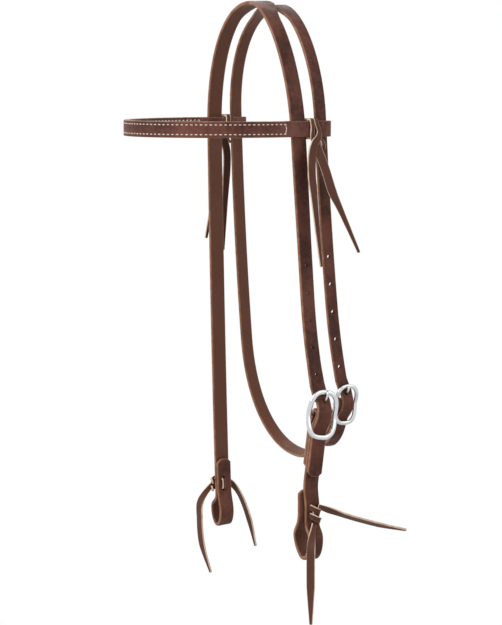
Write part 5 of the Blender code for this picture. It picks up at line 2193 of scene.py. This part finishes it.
OFF_BAND_TAILS = (
    Tail(((-0.0950, 0.0147, -0.1521), (-0.1000, 0.0151, -0.1991), (-0.1040, 0.0149, -0.2517)),
         (0.0, 1.0, 0.0)),
    Tail(((-0.0940, 0.0020, -0.1521), (-0.1000, 0.0010, -0.1985), (-0.1040, -0.0053, -0.2380)),
         (0.0, 1.0, 0.0)),
)
NEAR_KNOT_REACH = 0.0070
OFF_KNOT_REACH = 0.0105


@dataclass
class Studio:
    """Pale floor, soft light and the camera at the photograph's angle."""

    target: Triple = (0.0, -0.0115, -0.3029)
    azimuth: float = 60.0
    elevation: float = 8.0
    distance: float = 2.284
    lens: float = 131.56
    floor_height: float = -1.05
    floor_radius: float = 1.25
    sky: float = 0.46
    lamps: tuple[tuple[str, float, float, float, float, float], ...] = (
        ("key_lamp", -55.0, 38.0, 2.2, 1.3, 33.0), ("fill_lamp", 60.0, 20.0, 2.4, 1.4, 9.0),
        ("back_lamp", 180.0, 45.0, 2.2, 1.2, 10.0))

    def direction(self, azimuth: float, elevation: float) -> Vector:
        """Direction from the target towards a place round it."""
        turn, lift = radians(azimuth), radians(elevation)
        return Vector((sin(turn) * cos(lift), -cos(turn) * cos(lift), sin(lift)))

    def aimed(self, name: str, data: bpy.types.ID, azimuth: float, elevation: float,
              distance: float) -> Thing:
        """Put a lamp or camera round the target, looking at it.

        Args:
            name: Name of the new object.
            data: Its lamp or camera.
            azimuth: Degrees round the target.
            elevation: Degrees above it.
            distance: Distance from it.

        Returns:
            The object.
        """
        thing = bpy.data.objects.new(name, data)
        place = Vector(self.target) + self.direction(azimuth, elevation) * distance
        thing.location = place
        aim = Vector(self.target) - place
        thing.rotation_euler = aim.to_track_quat("-Z", "Y").to_euler()
        bpy.context.scene.collection.objects.link(thing)
        return thing

    def world(self) -> None:
        """White behind the headstall, and a softer even light on it."""
        world = bpy.data.worlds.new("studio_world")
        world.use_nodes = True
        bpy.context.scene.world = world
        tree = world.node_tree
        tree.nodes.clear()
        kit = NodeKit(tree)
        white = (1.0, 1.0, 1.0, 1.0)
        seen = kit.add("ShaderNodeBackground", {"Color": white, "Strength": 1.0})
        cast = kit.add("ShaderNodeBackground", {"Color": white, "Strength": self.sky})
        path = kit.add("ShaderNodeLightPath")
        shown = kit.math("ADD", path.outputs["Is Camera Ray"], path.outputs["Is Glossy Ray"])
        shown = kit.math("ADD", shown, path.outputs["Is Transmission Ray"])
        mix = kit.add("ShaderNodeMixShader", {"Fac": shown, 1: cast.outputs["Background"],
                                              2: seen.outputs["Background"]})
        kit.add("ShaderNodeOutputWorld", {"Surface": mix.outputs["Shader"]})

    def floor(self) -> None:
        """Pale round floor far enough below that the hung headstall's shadow lies on it alone."""
        work = bmesh.new()
        bmesh.ops.create_circle(work, cap_ends=True, segments=96, radius=self.floor_radius)
        bmesh.ops.translate(work, vec=(0.0, 0.0, self.floor_height), verts=work.verts)
        floor = placed("studio_floor", mesh_of("studio_floor", work))
        paint = bpy.data.materials.new("pale_floor")
        paint.use_nodes = True
        shader = paint.node_tree.nodes["Principled BSDF"]
        shader.inputs["Base Color"].default_value = (0.86, 0.86, 0.85, 1.0)
        shader.inputs["Roughness"].default_value = 0.8
        floor.data.materials.append(paint)
        floor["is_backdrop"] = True

    def build(self) -> None:
        """Set up floor, world, lamps and camera."""
        self.floor()
        self.world()
        for name, azimuth, elevation, distance, size, power in self.lamps:
            light = bpy.data.lights.new(name, "AREA")
            light.size = size
            light.energy = power
            self.aimed(name, light, self.azimuth + azimuth, elevation, distance)
        camera = bpy.data.cameras.new("camera")
        camera.lens = self.lens
        camera.sensor_width = 36.0
        camera.clip_end = 50.0
        bpy.context.scene.camera = self.aimed("camera", camera, self.azimuth, self.elevation,
                                              self.distance)
        bpy.context.scene.view_settings.view_transform = "Standard"


def make_crown() -> Crown:
    """Crown with the arches and buckles that its two straps are cut for.

    Returns:
        The crown.
    """
    cheek_buckle = Buckle(
        seat=leaned_seat(Vector((0.0934, 0.0130, -0.3937)), (-0.05, 0.165)), width=0.0349,
        height=0.0492, rail_width=0.0050, rail_depth=0.0034, bar_radius=0.0016, shift=0.0086,
        frame_shift=-0.0003, bend_start=0.0500, bend_radius=50.0, tail=0.0610,
        turn_back=0.0535, blend=0.1150, strap_width=LEATHER.cheek_width,
        rest_shift=-0.0008, twist=8.0)
    throat_buckle = Buckle(
        seat=leaned_seat(Vector((0.0885, 0.0408, -0.3860)), (0.12, 0.06)), width=0.0276,
        height=0.0414, rail_width=0.0042, rail_depth=0.0030, bar_radius=0.0015, shift=0.0056,
        frame_shift=0.0016, bend_start=0.0165, bend_radius=0.0340, tail=0.0520,
        turn_back=0.0440, blend=0.1050, strap_width=LEATHER.throat_width, rest_shift=0.0012)
    cheek = Arch(top=0.0040, half_width=0.0770, rise=0.1250, front=-0.0113, lean_share=0.033,
                 flare_share=0.045, sweep_radius=46.0)
    throat = Arch(top=0.0002, half_width=0.0795, rise=0.1050, front=0.0145, lean_share=0.020,
                  flare_share=0.025, sweep_radius=9.4)
    return Crown(cheek, throat, cheek_buckle, throat_buckle)


def flat_list(box: object) -> object:
    """Turn nested vectors into plain lists of numbers."""
    return float(box) if isinstance(box, (int, float)) else [flat_list(item) for item in box]


def main() -> None:
    """Build every piece over the frame, then the studio."""
    logging.basicConfig(level=logging.INFO, format="%(name)s %(message)s")
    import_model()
    cad_box = flat_list(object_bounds())
    finishes = Finishes()
    crown = make_crown()
    crown.build(finishes)
    near_cheek = NearCheek(crown.cheek_buckle)
    near_cheek.build(finishes)
    BuckleSet(crown.cheek_buckle, "cheek", Body.CHEEK_TONGUE).build(finishes)
    BuckleSet(crown.throat_buckle, "throat", Body.THROAT_TONGUE).build(finishes)
    band = Browband(crown)
    band.build(finishes)
    for buckle, tag, body in ((crown.cheek_buckle, "cheek", Body.NEAR_CHEEK),
                              (crown.throat_buckle, "throat", Body.HEADSTALL)):
        sewn = EndSewing().sew(buckle, tag + "_end_stitches", finishes.thread)
        dress(sewn, finishes.thread, body, Slot.LACE, ())
    lacing = Lacing()
    for knot, body, node in (
            (lacing.bit_knot(near_cheek.seat(), NEAR_LACE_HOLE, "near_bit_knot",
                             NEAR_BIT_TAILS, NEAR_KNOT_REACH), Body.NEAR_CHEEK, "near_bit_lace"),
            (lacing.bit_knot(crown.off_seat(), OFF_LACE_HOLE, "off_bit_knot",
                             OFF_BIT_TAILS, OFF_KNOT_REACH), Body.HEADSTALL, "off_bit_lace"),
            (lacing.band_knot(band, 1, "near_band_knot", NEAR_BAND_TAILS),
             Body.BROWBAND, "near_browband_lace"),
            (lacing.band_knot(band, -1, "off_band_knot", OFF_BAND_TAILS),
             Body.BROWBAND, "off_browband_lace")):
        dress(knot, finishes.lace, body, Slot.LACE, (node,))
    Studio().build()
    {"cad": cad_box, "visual": flat_list(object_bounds())}


if __name__ == "__main__":
    main()
